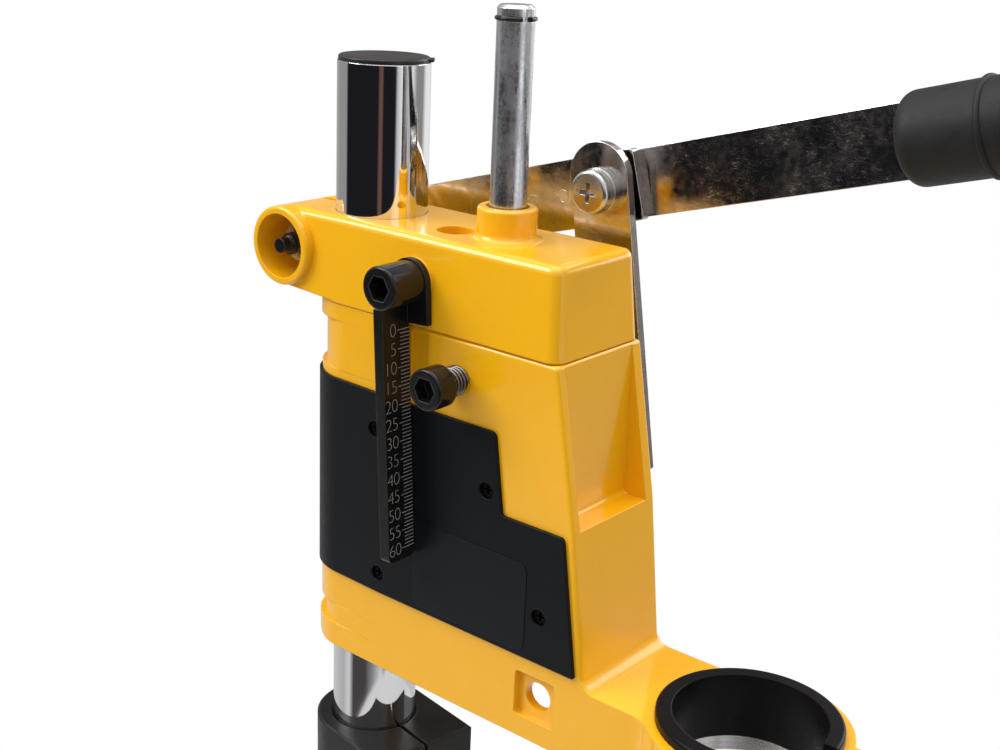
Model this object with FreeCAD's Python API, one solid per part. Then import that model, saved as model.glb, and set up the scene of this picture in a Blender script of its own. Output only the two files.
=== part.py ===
"""Bench drill stand with a 60 mm feed, built from its separate pieces, in millimetres.

Frame: the origin is on the column's axis at the underside of the base, +Z up and +X
from the column towards the drill collar. The scale side of the head faces -Y.
The pieces of the head are laid out about the seam between bracket and carriage,
so their heights are given from that seam and lifted by SEAM_Z when they are written.
"""
import FreeCAD, Part
import math
import os

os.makedirs("parts", exist_ok=True)
V = FreeCAD.Vector

# ---- clearances -------------------------------------------------------------
RUN = 0.06              # radial clearance of a running or sliding fit
SEAT = 0.02             # radial clearance of a fixed fit
THREAD_GAP = 0.03       # radial clearance left between a screw and its threaded hole
FACE_GAP = 0.3          # seam left between the closed bracket and carriage

# ---- column, base and foot --------------------------------------------------
COLUMN_R = 12.5
COLUMN_WALL = 1.8
COLUMN_LENGTH = 400.0
COLUMN_ABOVE_SEAM = 63.6
CAP_R = COLUMN_R - 0.3
CAP_LIP = 1.4
CAP_PLUG = 9.0
BASE_LENGTH = 230.0
BASE_WIDTH = 160.0
BASE_REAR = 45.0        # from the column's axis back to the rear edge
BASE_HEIGHT = 14.0
SOCKET_FLOOR = 6.0      # thickness of the base under the column
BASE_CORNER_R = 18.0
BASE_BOLT_X = 198.0
BASE_BOLT_Y = 128.0
BASE_BOLT_R = 4.5
FOOT_SIZE = 62.0
FOOT_FLANGE = 8.0
FOOT_BOSS_R = COLUMN_R + 7.0
FOOT_HEIGHT = 46.0
FOOT_BOLT_PITCH = 46.0
CHIP_HOLE_R = 13.0
VICE_SLOT_W = 9.0
VICE_SLOT_L = 40.0
VICE_SLOT_PITCH = 90.0

# ---- bracket ----------------------------------------------------------------
BRACKET_HEIGHT = 23.5
HEAD_WALL = 4.1         # bracket around the column, at the seam
HEAD_HALF = COLUMN_R + HEAD_WALL   # to the near side; the far side stands out further
HEAD_FAR = HEAD_HALF + 2.0
BRACKET_DRAFT = 1.4     # how far the near side has drawn in at the top
BRACKET_FAR_DRAFT = 2.0
BRACKET_FRONT = 74.8
BRACKET_FRONT_DRAFT = 1.8
BRACKET_CORNER_R = 3.5
BRACKET_EDGE_R = 2.4
EAR_X = -COLUMN_R - 8.8  # clamp bolt and lever pivot axis
EAR_Z = 12.3
EAR_R = 11.0
EAR_NEAR = HEAD_HALF + 1.9
EAR_FAR = HEAD_FAR + 0.4
EAR_POCKET_R = 8.9
EAR_POCKET_DEPTH = 11.5
SLIT = 2.4
ROD_X = 44.2
ROD_BOSS_R = 7.8
ROD_BOSS_TOP = 31.8
SPRING_X = 30.0
SPRING_Y = -3.5
STOP_BORE_R = 5.6       # bore in the rod boss that lets the snap ring in
STOP_BORE_Z = 17.2      # its floor, where the ring lands at the end of the stroke
SCALE_PAD_R = 5.9
SPRING_HOLE_R = 4.9

# ---- feed carriage ----------------------------------------------------------
STROKE = 60.0
CARRIAGE_DEPTH = 104.0  # from the seam down to the underside
CARRIAGE_WALL = 4.0     # carriage around the column, at its flat sides
CARRIAGE_HALF = COLUMN_R + CARRIAGE_WALL   # to the near side
CARRIAGE_FAR = CARRIAGE_HALF + 2.0
BAND_R = CARRIAGE_HALF - 0.3   # round rear of the carriage
REAR_ROLL_R = 12.0      # the underside rolls up towards the rear
BARREL_SHIFT = 2.2      # how far the rear is drawn forwards between its bands
FLAT_START_X = 18.0     # where the tapering rear sides reach the flat sides
CARRIAGE_TOP_X = 75.2
SHELF_X = 83.0
SHELF_Z = -41.5
SHELF_DEPTH = 7.0
POCKET_NEAR = CARRIAGE_HALF - 2.4
POCKET_FAR = CARRIAGE_FAR - 4.2
RECESS_X = (27.4, 33.3)
RECESS_Z = (-21.0, -1.5)
RECESS_DEPTH = 1.5
ARM_ROOT_X = 88.2
ARM_TOP_Z = -83.0
COLLAR_X = 126.9
COLLAR_BORE_R = 21.5
COLLAR_R = 25.6
COLLAR_EAR_HALF = 9.0
COLLAR_EAR_END = 21.0   # how far the clamp ears reach past the collar's bore
COLLAR_SLIT = 3.0
INSERT_TOP_Z = -80.3
INSERT_BOTTOM_Z = -98.2
INSERT_LIP_R = 23.0
INSERT_BORE_R = 19.0
CROSS_HOLE_X = 73.3
CROSS_HOLE_Z = -91.4
CROSS_HOLE_R = 4.0
CROSS_RECESS = 12.8
CROSS_RECESS_DEPTH = 2.0
WINDOW_FLOOR_Z = -75.5
WINDOW_TOP_Z = -25.5
WINDOW_FAR_WALL = 4.0
ARM_HOLLOW_X = (50.0, 98.0)
ARM_HOLLOW_HALF = CARRIAGE_HALF - 4.5
ARM_TOP_WALL = 3.5

# ---- side cover and label ---------------------------------------------------
COVER_WALL = 0.95
COVER_TOP_Z = -21.5
COVER_BOTTOM_Z = -80.0
COVER_STEP_X = 57.4
COVER_STEP_Z = -43.1
COVER_FRONT_X = 80.4
COVER_LOW_X = 86.0
COVER_REAR_R = CARRIAGE_HALF + 0.3
COVER_REACH_Y = 4.0     # how far the cover wraps past the rear centre line
COVER_SCREWS = [(15.3, -31.9), (55.3, -37.8), (17.3, -74.2), (74.1, -67.0)]
COVER_HOLE_R = 2.3
COVER_SCREW_SINK = 0.85
COVER_SCREW_L = 3.6
LABEL_X = (30.8, 69.8)
LABEL_Z = (-78.6, -53.8)
LABEL_THICK = 0.15

# ---- depth rod, screws and springs -----------------------------------------
ROD_R = 4.75
ROD_TOP = 81.3
ROD_BOTTOM = -58.0
RING_Z = 78.0
RING_WIRE_R = 0.55
RING_GAP_AT = -17.0     # heading of the ring's open side
LOCK_X = 43.9
LOCK_Z = -10.9
LOCK_HEAD_R = 5.5
LOCK_HEAD_L = 6.1
LOCK_GAP = 6.8          # free thread between head and carriage, filled by its spring
SCREW_M8_R = 4.0
CLAMP_DOG_R = 2.1
CLAMP_DOG_L = 2.6
SCREW_M6_R = 3.0
LOCK_SPRING_WIRE_R = 0.45
PIN_R = 1.5
UPPER_PIN_Z = 4.6
LOWER_PIN_Z = -70.0
SPRING_R = 4.3          # outside radius of the return spring
SPRING_WIRE_R = 0.6

# ---- depth scale ------------------------------------------------------------
SCALE_SCREW_X = 27.5
SCALE_SCREW_Z = 11.8
SCALE_HEAD_R = 5.75
SCALE_HEAD_L = 11.0
SCALE_FLANGE_T = 1.7
SCALE_FLANGE_R = 6.2
SCALE_FLANGE_BOTTOM = 1.0
SCALE_FIN_T = 3.2
SCALE_FIN_FACE = -0.6  # fin's front face from the screw's axis
SCALE_FIN_OUT = HEAD_HALF + 10.9
SCALE_FIN_IN = HEAD_HALF + 1.2
SCALE_FIN_END = -63.5
SCALE_TILT = 3.43       # the scale hangs this many degrees off plumb

# ---- lever and link ---------------------------------------------------------
LEVER_ANGLE = 16.13
LEVER_PITCH = 79.5      # pivot to link screw
LEVER_LENGTH = 250.0
LEVER_WIDTH = 17.6
ARM_WIDTH = 18.6
LEVER_THICK = 2.6
LINK_WIDTH = 18.2
LINK_CROWN = 3.6        # the round top's centre above the link screw
LINK_LENGTH = 66.1
LINK_LEAN = 9.9
LINK_END = 9.0          # from the lower pin to the cut end
LINK_Y = HEAD_FAR + 5.4  # inner face of the link
LINK_GAP = 1.4          # washer space between link and lever
ARM_OVERHANG = 9.6     # inner lever plate past the link screw
BAR_START = 48.0        # outer lever bar starts here along the lever
GRIP_START = 162.0
BUSH_R = 5.0
WASHER_T = 1.6
GRIP_R = 11.0
RIVET_R = 1.6
LINK_HEAD_R = 5.8
LINK_HEAD_L = 2.5
LINK_WASHER_T = 1.3
LINK_PIN_R = 2.5
PIN_SHOULDER_R = 4.5
SLOT_BACK = 6.4         # pin travel backwards in its slot over the stroke
SLOT_FRONT = 3.5        # pin travel forwards in its slot over the stroke
SLOT_RISE = 0.7
SLOT_DEPTH = 2.8

# ---- stop collar ------------------------------------------------------------
STOP_TOP_Z = -132.0
STOP_HEIGHT = 16.0
STOP_HALF = COLUMN_R + 4.8
STOP_REACH = COLUMN_R + 13.5
STOP_SLIT = 1.2
STOP_TURN = -9.3
STOP_NUT_FLATS = 10.0
STOP_NUT_SINK = 5.6

# ---- derived ----------------------------------------------------------------
SEAM_Z = SOCKET_FLOOR + COLUMN_LENGTH - COLUMN_ABOVE_SEAM
BASE_MID_X = BASE_LENGTH / 2 - BASE_REAR
LEVER_DIR = V(math.cos(math.radians(LEVER_ANGLE)), 0, math.sin(math.radians(LEVER_ANGLE)))
LINK_SCREW_AT = V(EAR_X, 0, EAR_Z) + LEVER_DIR * LEVER_PITCH
LINK_DIR = V(math.sin(math.radians(LINK_LEAN)), 0, -math.cos(math.radians(LINK_LEAN)))
LINK_PIN_AT = LINK_SCREW_AT + LINK_DIR * LINK_LENGTH
LEVER_Y = LINK_Y + LEVER_THICK + LINK_GAP
BAR_Y = LEVER_Y + LEVER_THICK
COVER_OUT = CARRIAGE_HALF + 0.05 + COVER_WALL
SCALE_Y = HEAD_HALF
COLLAR_SCREW_X = COLLAR_X + COLLAR_BORE_R + COLLAR_EAR_END / 2 + 2
COLLAR_SCREW_Z = (ARM_TOP_Z - CARRIAGE_DEPTH) / 2
STOP_SCREW_X = (COLUMN_R + STOP_REACH) / 2 + 1
STOP_SCREW_Z = STOP_TOP_Z - STOP_HEIGHT / 2

made = []


def write(name, solids, lift=0.0):
    """Write one sub-part; a list of solids goes out as a group."""
    shape = Part.makeCompound(solids) if isinstance(solids, list) else solids
    shape = shape.copy()
    shape.translate(V(0, 0, lift))
    shape.exportStep("parts/%s.step" % name)
    made.append((name, len(shape.Solids), shape.isValid(), shape.Volume))


def box(x0, x1, y0, y1, z0, z1):
    return Part.makeBox(x1 - x0, y1 - y0, z1 - z0, V(x0, y0, z0))


def rod_y(x, z, radius, y0, y1):
    return Part.makeCylinder(radius, y1 - y0, V(x, y0, z), V(0, 1, 0))


def rod_z(x, y, radius, z0, z1):
    return Part.makeCylinder(radius, z1 - z0, V(x, y, z0), V(0, 0, 1))


def corner(before, at, after, radius):
    """Tangent points and mid point of the arc that rounds one corner."""
    a = (before - at).normalize()
    b = (after - at).normalize()
    half = math.acos(max(-1.0, min(1.0, a.dot(b)))) / 2
    reach = radius / math.tan(half)
    bisector = (a + b).normalize()
    centre = at + bisector * (radius / math.sin(half))
    return at + a * reach, centre - bisector * radius, at + b * reach


def outline(points, to_vector):
    """Closed wire through (u, v, corner radius) points; to_vector places u and v."""
    flat = [V(u, v, 0) for u, v, _ in points]
    runs = []
    for i, (_, _, radius) in enumerate(points):
        if radius > 0:
            runs.append(corner(flat[i - 1], flat[i], flat[(i + 1) % len(flat)], radius))
        else:
            runs.append((flat[i],))
    edges = []
    for i, run in enumerate(runs):
        spots = [to_vector(p.x, p.y) for p in run]
        if len(spots) == 3:
            edges.append(Part.Arc(*spots).toShape())
        following = runs[(i + 1) % len(runs)][0]
        start, end = spots[-1], to_vector(following.x, following.y)
        if start.distanceToPoint(end) > 1e-6:
            edges.append(Part.LineSegment(start, end).toShape())
    return Part.Wire(edges)


def slab_xz(points, y0, y1):
    """Extrude an outline drawn in X and Z from y0 to y1."""
    wire = outline(points, lambda u, v: V(u, y0, v))
    return Part.Face(wire).extrude(V(0, y1 - y0, 0))


def slab_xy(points, z0, z1):
    """Extrude an outline drawn in X and Y from z0 to z1."""
    wire = outline(points, lambda u, v: V(u, v, z0))
    return Part.Face(wire).extrude(V(0, 0, z1 - z0))


def rear_tangent(radius, centre_x, x, y, z):
    """Where the tangent from a point touches the round rear, on the point's own side."""
    distance = math.hypot(x - centre_x, y)
    turn = math.atan2(abs(y), x - centre_x) + math.acos(min(1.0, radius / distance))
    return V(centre_x + radius * math.cos(turn), math.copysign(radius * math.sin(turn), y), z)


def keyhole_wire(radius, flat_x, near, far, front_x, z, front_r=0.0, centre_x=0.0):
    """Round rear of one radius whose tangents run to straight sides and a flat front."""
    far_touch = rear_tangent(radius, centre_x, flat_x, far, z)
    near_touch = rear_tangent(radius, centre_x, flat_x, -near, z)
    edges = [Part.Arc(far_touch, V(centre_x - radius, 0, z), near_touch).toShape()]
    near_rear, near_front = V(flat_x, -near, z), V(front_x, -near, z)
    far_front, far_rear = V(front_x, far, z), V(flat_x, far, z)
    last = near_touch
    stops = [near_rear]
    if front_r > 0:
        stops += [corner(near_rear, near_front, far_front, front_r), corner(near_front, far_front, far_rear, front_r)]
    else:
        stops += [near_front, far_front]
    stops += [far_rear, far_touch]
    for stop in stops:
        first = stop[0] if isinstance(stop, tuple) else stop
        edges.append(Part.LineSegment(last, first).toShape())
        last = first
        if isinstance(stop, tuple):
            edges.append(Part.Arc(*stop).toShape())
            last = stop[2]
    return Part.Wire(edges)


def keyhole(radius, flat_x, near, far, front_x, z0, z1, centre_x=0.0):
    wire = keyhole_wire(radius, flat_x, near, far, front_x, z0, centre_x=centre_x)
    return Part.Face(wire).extrude(V(0, 0, z1 - z0))


def hexagon(x, z, flats, y0, y1, turn=0):
    """Hexagonal prism along Y; at turn 0 a corner points along +X."""
    corner_r = flats / math.sqrt(3)
    points = [(x + corner_r * math.cos(math.radians(60 * i + turn)),
               z + corner_r * math.sin(math.radians(60 * i + turn)), 0) for i in range(6)]
    return slab_xz(points, y0, y1)


def edges_where(shape, test):
    return [e for e in shape.Edges if test(e)]


def at_height(z):
    return lambda e: abs(e.BoundBox.ZMin - z) < 1e-4 and abs(e.BoundBox.ZMax - z) < 1e-4


def at_depth(y):
    return lambda e: abs(e.BoundBox.YMin - y) < 1e-4 and abs(e.BoundBox.YMax - y) < 1e-4


def socket_screw(x, z, head_r, head_l, shank_r, face_y, tip_y, key, inward=1):
    """Socket-head screw along Y, its head's outer face at face_y and its tip at tip_y."""
    seat_y = face_y + inward * head_l
    head = rod_y(x, z, head_r, min(face_y, seat_y), max(face_y, seat_y))
    head = head.makeFillet(0.8, edges_where(head, at_depth(face_y)))
    shank = rod_y(x, z, shank_r, min(seat_y, tip_y), max(seat_y, tip_y))
    shank = shank.makeChamfer(0.6, edges_where(shank, at_depth(tip_y)))
    depth = 0.62 * head_l
    floor = face_y + inward * depth
    recess = hexagon(x, z, key, min(face_y, floor), max(face_y, floor))
    return head.fuse(shank).cut(recess).removeSplitter()


def hex_nut(x, z, flats, bore_r, y0, y1, turn=0):
    body = hexagon(x, z, flats, y0, y1, turn)
    crown = rod_y(x, z, flats / 2 * 1.11, y0, y1)
    crown = crown.makeChamfer(0.7, edges_where(crown, at_depth(y0)) + edges_where(crown, at_depth(y1)))
    return body.common(crown).cut(rod_y(x, z, bore_r, y0 - 1, y1 + 1))


# ---- base, foot and column --------------------------------------------------
def foot_bolt_places():
    half = FOOT_BOLT_PITCH / 2
    return [(sx * half, sy * half) for sx in (-1, 1) for sy in (-1, 1)]


def base_bolt_places():
    return [(BASE_MID_X + sx * BASE_BOLT_X / 2, sy * BASE_BOLT_Y / 2)
            for sx in (-1, 1) for sy in (-1, 1)]


def rounded_plate(x0, x1, half, radius, z0, z1):
    return slab_xy([(x0, -half, radius), (x1, -half, radius), (x1, half, radius), (x0, half, radius)],
                   z0, z1)


def base_plate():
    front = BASE_LENGTH - BASE_REAR
    plate = rounded_plate(-BASE_REAR, front, BASE_WIDTH / 2, BASE_CORNER_R, 0, BASE_HEIGHT)
    plate = plate.makeFillet(2.5, edges_where(plate, at_height(BASE_HEIGHT)))
    cuts = [rod_z(x, y, BASE_BOLT_R, -1, BASE_HEIGHT + 1) for x, y in base_bolt_places()]
    cuts += [rod_z(x, y, SCREW_M6_R + THREAD_GAP, BASE_HEIGHT - 12, BASE_HEIGHT + 1)
             for x, y in foot_bolt_places()]
    cuts.append(rod_z(COLLAR_X, 0, CHIP_HOLE_R, -1, BASE_HEIGHT + 1))
    for side in (-1, 1):
        mid = side * VICE_SLOT_PITCH / 2
        half_w, half_l = VICE_SLOT_W / 2, VICE_SLOT_L / 2
        end_r = half_w - 0.001
        cuts.append(slab_xy([(COLLAR_X - half_w, mid - half_l, end_r), (COLLAR_X + half_w, mid - half_l, end_r),
                             (COLLAR_X + half_w, mid + half_l, end_r), (COLLAR_X - half_w, mid + half_l, end_r)],
                            -1, BASE_HEIGHT + 1))
    cuts.append(rod_z(0, 0, COLUMN_R + RUN, SOCKET_FLOOR, BASE_HEIGHT + 1))
    return plate.cut(cuts).removeSplitter()


def column_foot():
    half = FOOT_SIZE / 2
    flange = rounded_plate(-half, half, half, 9.0, BASE_HEIGHT, BASE_HEIGHT + FOOT_FLANGE)
    flange = flange.makeFillet(1.5, edges_where(flange, at_height(BASE_HEIGHT + FOOT_FLANGE)))
    boss = rod_z(0, 0, FOOT_BOSS_R, BASE_HEIGHT, BASE_HEIGHT + FOOT_HEIGHT)
    boss = boss.makeFillet(1.5, edges_where(boss, at_height(BASE_HEIGHT + FOOT_HEIGHT)))
    foot = flange.fuse(boss)
    for side in (-1, 1):
        web = slab_xz([(side * (FOOT_BOSS_R - 2), BASE_HEIGHT + 4, 0), (side * (half - 3), BASE_HEIGHT + 4, 0),
                       (side * (half - 3), BASE_HEIGHT + FOOT_FLANGE + 1, 0),
                       (side * (FOOT_BOSS_R - 2), BASE_HEIGHT + FOOT_HEIGHT - 8, 0)], -3, 3)
        foot = foot.fuse(web)
    foot = foot.cut(rod_z(0, 0, COLUMN_R + RUN, BASE_HEIGHT - 1, BASE_HEIGHT + FOOT_HEIGHT + 1))
    foot = foot.cut([rod_z(x, y, SCREW_M6_R + 0.3, BASE_HEIGHT - 1, BASE_HEIGHT + FOOT_FLANGE + 1)
                     for x, y in foot_bolt_places()])
    grub = rod_y(0, BASE_HEIGHT + FOOT_HEIGHT - 14, SCREW_M8_R + THREAD_GAP, -FOOT_BOSS_R - 1, 0)
    return foot.cut(grub).removeSplitter()


def foot_bolts():
    bolts = []
    top = BASE_HEIGHT + FOOT_FLANGE
    for x, y in foot_bolt_places():
        head = rod_z(x, y, 5.0, top, top + 6)
        head = head.makeChamfer(0.5, edges_where(head, at_height(top + 6)))
        key = hexagon(0, 0, 5.0, 0, 4)
        key.rotate(V(0, 0, 0), V(1, 0, 0), 90)
        key.translate(V(x, y, top + 2.5))
        bolts.append(head.fuse(rod_z(x, y, SCREW_M6_R, BASE_HEIGHT - 11, top)).cut(key).removeSplitter())
    return bolts


def foot_grub_screw():
    z = BASE_HEIGHT + FOOT_HEIGHT - 14
    screw = rod_y(0, z, SCREW_M8_R, -FOOT_BOSS_R - 1.5, -COLUMN_R - 0.1)
    return screw.cut(hexagon(0, z, 4.0, -FOOT_BOSS_R - 2, -FOOT_BOSS_R + 2.5))


def column_tube():
    z0, z1 = SOCKET_FLOOR, SOCKET_FLOOR + COLUMN_LENGTH
    return rod_z(0, 0, COLUMN_R, z0, z1).cut(rod_z(0, 0, COLUMN_R - COLUMN_WALL, z0 - 1, z1 + 1))


def column_cap():
    top = SOCKET_FLOOR + COLUMN_LENGTH
    lip = rod_z(0, 0, CAP_R, top, top + CAP_LIP)
    lip = lip.makeFillet(0.6, edges_where(lip, at_height(top + CAP_LIP)))
    plug = rod_z(0, 0, COLUMN_R - COLUMN_WALL - RUN, top - CAP_PLUG, top)
    return lip.fuse(plug).removeSplitter()


# ---- bracket and what is fixed to it ----------------------------------------
def bracket_flanks():
    """Drafted sides of the bracket, carried straight back to the two clamp ears."""
    front = 6.0
    rings = []
    for near, far, z in ((HEAD_HALF, HEAD_FAR, 0),
                         (HEAD_HALF - BRACKET_DRAFT, HEAD_FAR - BRACKET_FAR_DRAFT, BRACKET_HEIGHT)):
        rings.append(outline([(EAR_X, -near, 0), (front, -near, 0), (front, far, 0), (EAR_X, far, 0)],
                             lambda u, v, z=z: V(u, v, z)))
    wedge = Part.makeLoft(rings, True, True)
    side = slab_xz([(EAR_X, EAR_Z - EAR_R, 0), (front, 0, 0), (front, BRACKET_HEIGHT, 0),
                    (EAR_X, EAR_Z + EAR_R, 0)], -HEAD_HALF - 1, HEAD_FAR + 1)
    flanks = wedge.common(side)
    return flanks.makeFillet(BRACKET_EDGE_R, edges_where(flanks, lambda e: e.BoundBox.XLength > 20
                                                         and e.BoundBox.ZMin > BRACKET_HEIGHT / 2))


def bracket_casting():
    top_near = HEAD_HALF - BRACKET_DRAFT
    lower = keyhole_wire(HEAD_HALF, 4.0, HEAD_HALF, HEAD_FAR, BRACKET_FRONT, 0, BRACKET_CORNER_R)
    upper = keyhole_wire(top_near, 4.0, top_near, HEAD_FAR - BRACKET_FAR_DRAFT,
                         BRACKET_FRONT - BRACKET_FRONT_DRAFT, BRACKET_HEIGHT, BRACKET_CORNER_R)
    body = Part.makeLoft([lower, upper], True, True)
    body = body.makeFillet(BRACKET_EDGE_R, edges_where(body, at_height(BRACKET_HEIGHT)))
    boss = rod_z(ROD_X, 0, ROD_BOSS_R, BRACKET_HEIGHT / 2, ROD_BOSS_TOP)
    boss = boss.makeFillet(0.9, edges_where(boss, at_height(ROD_BOSS_TOP)))
    body = body.fuse(boss).removeSplitter()
    foot_ring = edges_where(body, lambda e: at_height(BRACKET_HEIGHT)(e)
                            and abs(e.BoundBox.XLength - 2 * ROD_BOSS_R) < 0.01)
    body = body.makeFillet(2.0, foot_ring)
    ear = rod_y(EAR_X, EAR_Z, EAR_R, -EAR_NEAR, EAR_FAR)
    ear = ear.makeFillet(0.9, edges_where(ear, at_depth(-EAR_NEAR)) + edges_where(ear, at_depth(EAR_FAR)))
    pivot_boss = rod_y(EAR_X, EAR_Z, EAR_R - 2.3, 0, LEVER_Y - 0.3)
    scale_pad = rod_y(SCALE_SCREW_X, SCALE_SCREW_Z, SCALE_PAD_R, -SCALE_Y, -10)
    body = body.fuse([bracket_flanks(), ear, pivot_boss, scale_pad])
    body = body.cut([
        rod_z(0, 0, COLUMN_R + RUN, -1, BRACKET_HEIGHT + 1),
        box(EAR_X - EAR_R - 1, -COLUMN_R + 2, -SLIT / 2, SLIT / 2, -1, BRACKET_HEIGHT + 2),
        rod_y(EAR_X, EAR_Z, SCREW_M6_R + 0.3, -EAR_NEAR - 1, LEVER_Y + 1),
        rod_y(EAR_X, EAR_Z, EAR_POCKET_R, -EAR_NEAR - 1, -EAR_NEAR + EAR_POCKET_DEPTH),
        rod_z(ROD_X, 0, ROD_R + RUN, -1, ROD_BOSS_TOP + 1),
        rod_z(ROD_X, 0, STOP_BORE_R, STOP_BORE_Z, ROD_BOSS_TOP + 1),
        rod_z(SPRING_X, SPRING_Y, SPRING_HOLE_R, -1, BRACKET_HEIGHT + 1),
        rod_y(SPRING_X, UPPER_PIN_Z, PIN_R + SEAT, SPRING_Y - SPRING_HOLE_R - 3, SPRING_Y + SPRING_HOLE_R + 3),
        rod_y(SCALE_SCREW_X, SCALE_SCREW_Z, SCREW_M6_R + THREAD_GAP, -HEAD_HALF - 1, -9.0),
    ])
    return body.removeSplitter()


def clamp_bolt():
    """Cross bolt that closes the clamp and carries the lever outside the far ear."""
    head_seat = LEVER_Y + LEVER_THICK + 0.3 + WASHER_T
    tip = -EAR_NEAR + 0.3
    screw = socket_screw(EAR_X, EAR_Z, 5.0, 6.0, SCREW_M6_R, head_seat + 6.0, tip + CLAMP_DOG_L, 5.0, -1)
    return screw.fuse(rod_y(EAR_X, EAR_Z, CLAMP_DOG_R, tip, tip + CLAMP_DOG_L + 1)).removeSplitter()


def clamp_nut():
    floor = -EAR_NEAR + EAR_POCKET_DEPTH
    return hex_nut(EAR_X, EAR_Z, 10.0, SCREW_M6_R + SEAT, floor - 5.0, floor)


def lever_bush():
    y0 = LEVER_Y - 0.3
    y1 = LEVER_Y + LEVER_THICK + 0.3
    return rod_y(EAR_X, EAR_Z, BUSH_R, y0, y1).cut(rod_y(EAR_X, EAR_Z, SCREW_M6_R + SEAT, y0 - 1, y1 + 1))


def lever_washer():
    y0 = LEVER_Y + LEVER_THICK + 0.3
    return rod_y(EAR_X, EAR_Z, BUSH_R + 2.2, y0, y0 + WASHER_T).cut(
        rod_y(EAR_X, EAR_Z, SCREW_M6_R + SEAT, y0 - 1, y0 + WASHER_T + 1))


def depth_scale():
    """Angle-shaped scale: a round-topped flange under the screw and a fin that stands out."""
    sx, sz = SCALE_SCREW_X, SCALE_SCREW_Z
    y_in, y_out = -SCALE_Y, -SCALE_Y - SCALE_FLANGE_T
    fin_x1 = sx + SCALE_FIN_FACE
    fin_x0 = fin_x1 - SCALE_FIN_T
    disc = rod_y(sx, sz, SCALE_FLANGE_R, y_out, y_in)
    leaf = box(fin_x0, sx + SCALE_FLANGE_R, y_out, y_in, SCALE_FLANGE_BOTTOM, sz)
    fin_top = sz - SCALE_HEAD_R - 0.3
    fin = box(fin_x0, fin_x1, -SCALE_FIN_OUT, -SCALE_FIN_IN, SCALE_FIN_END, fin_top)
    low = edges_where(fin, lambda e: e.BoundBox.ZMax < SCALE_FIN_END + 1e-3 and e.BoundBox.XLength > 1)
    fin = fin.makeFillet(1.6, low)
    scale = disc.fuse([leaf, fin]).cut(rod_y(sx, sz, SCREW_M6_R + 0.2, y_out - 1, y_in + 1))
    scale = scale.removeSplitter()
    scale.rotate(V(sx, 0, sz), V(0, 1, 0), -SCALE_TILT)
    return scale


def scale_screw():
    seat = -SCALE_Y - SCALE_FLANGE_T
    return socket_screw(SCALE_SCREW_X, SCALE_SCREW_Z, SCALE_HEAD_R, SCALE_HEAD_L, SCREW_M6_R,
                        seat - SCALE_HEAD_L, -9.4, 6.2)


def spring_pin(z, y0, y1):
    return rod_y(SPRING_X, z, PIN_R, y0, y1)


def return_spring():
    """Envelope of the tension spring that pulls the carriage up, hooked on its two pins."""
    z0, z1 = LOWER_PIN_Z + PIN_R + 0.1, UPPER_PIN_Z - PIN_R - 0.1
    wall = 2 * SPRING_WIRE_R
    return rod_z(SPRING_X, SPRING_Y, SPRING_R, z0, z1).cut(
        rod_z(SPRING_X, SPRING_Y, SPRING_R - wall, z0 - 1, z1 + 1))


# ---- carriage and what is fixed to it ---------------------------------------
def carriage_front_x(z):
    """Front face of the carriage at a height."""
    if z > SHELF_Z:
        return CARRIAGE_TOP_X + (SHELF_X - CARRIAGE_TOP_X) * z / SHELF_Z
    return SHELF_X + (ARM_ROOT_X - SHELF_X) * (z - SHELF_Z) / (ARM_TOP_Z - SHELF_Z)


def carriage_body():
    bottom, near, far = -CARRIAGE_DEPTH, CARRIAGE_HALF, CARRIAGE_FAR
    side = [(FLAT_START_X, -FACE_GAP, 0), (CARRIAGE_TOP_X, -FACE_GAP, 1.0), (SHELF_X, SHELF_Z, 0),
            (ARM_ROOT_X, ARM_TOP_Z, 0), (ARM_ROOT_X, bottom, 0), (FLAT_START_X, bottom, 0)]
    body = slab_xz(side, -near, far)
    long_front = edges_where(body, lambda e: e.BoundBox.XMin > CARRIAGE_TOP_X - 1 and e.BoundBox.ZLength > 20
                             and e.BoundBox.YLength < 1e-3)
    body = body.makeFillet(1.2, long_front)
    seat_top, seat_low = COVER_TOP_Z + 0.05, COVER_BOTTOM_Z - 0.05
    low_band = bottom + 7.0
    bands = [(-FACE_GAP, -5.0, BAND_R, 0), (-5.0, -19.0, BAND_R, BARREL_SHIFT), (-19.0, seat_top, BAND_R - 0.2, 0),
             (seat_top, seat_low, BAND_R - 0.4, 0), (seat_low, low_band + 6.0, BAND_R - 0.2, 0),
             (low_band + 6.0, low_band, BAND_R, BARREL_SHIFT), (low_band, bottom, BAND_R + 0.2, 0)]
    rear, front = -BAND_R - 0.2, FLAT_START_X + 8
    rolled = slab_xz([(rear, bottom, REAR_ROLL_R), (front, bottom, 0), (front, -FACE_GAP, 0),
                      (rear, -FACE_GAP, 0)], -near - 1, far + 1)
    pieces = []
    for high, low, radius, shift in bands:
        band = keyhole(radius, FLAT_START_X, near, far, FLAT_START_X + 8, low, high, shift)
        pieces.append(band.common(rolled))
    return body.fuse(pieces)


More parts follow.
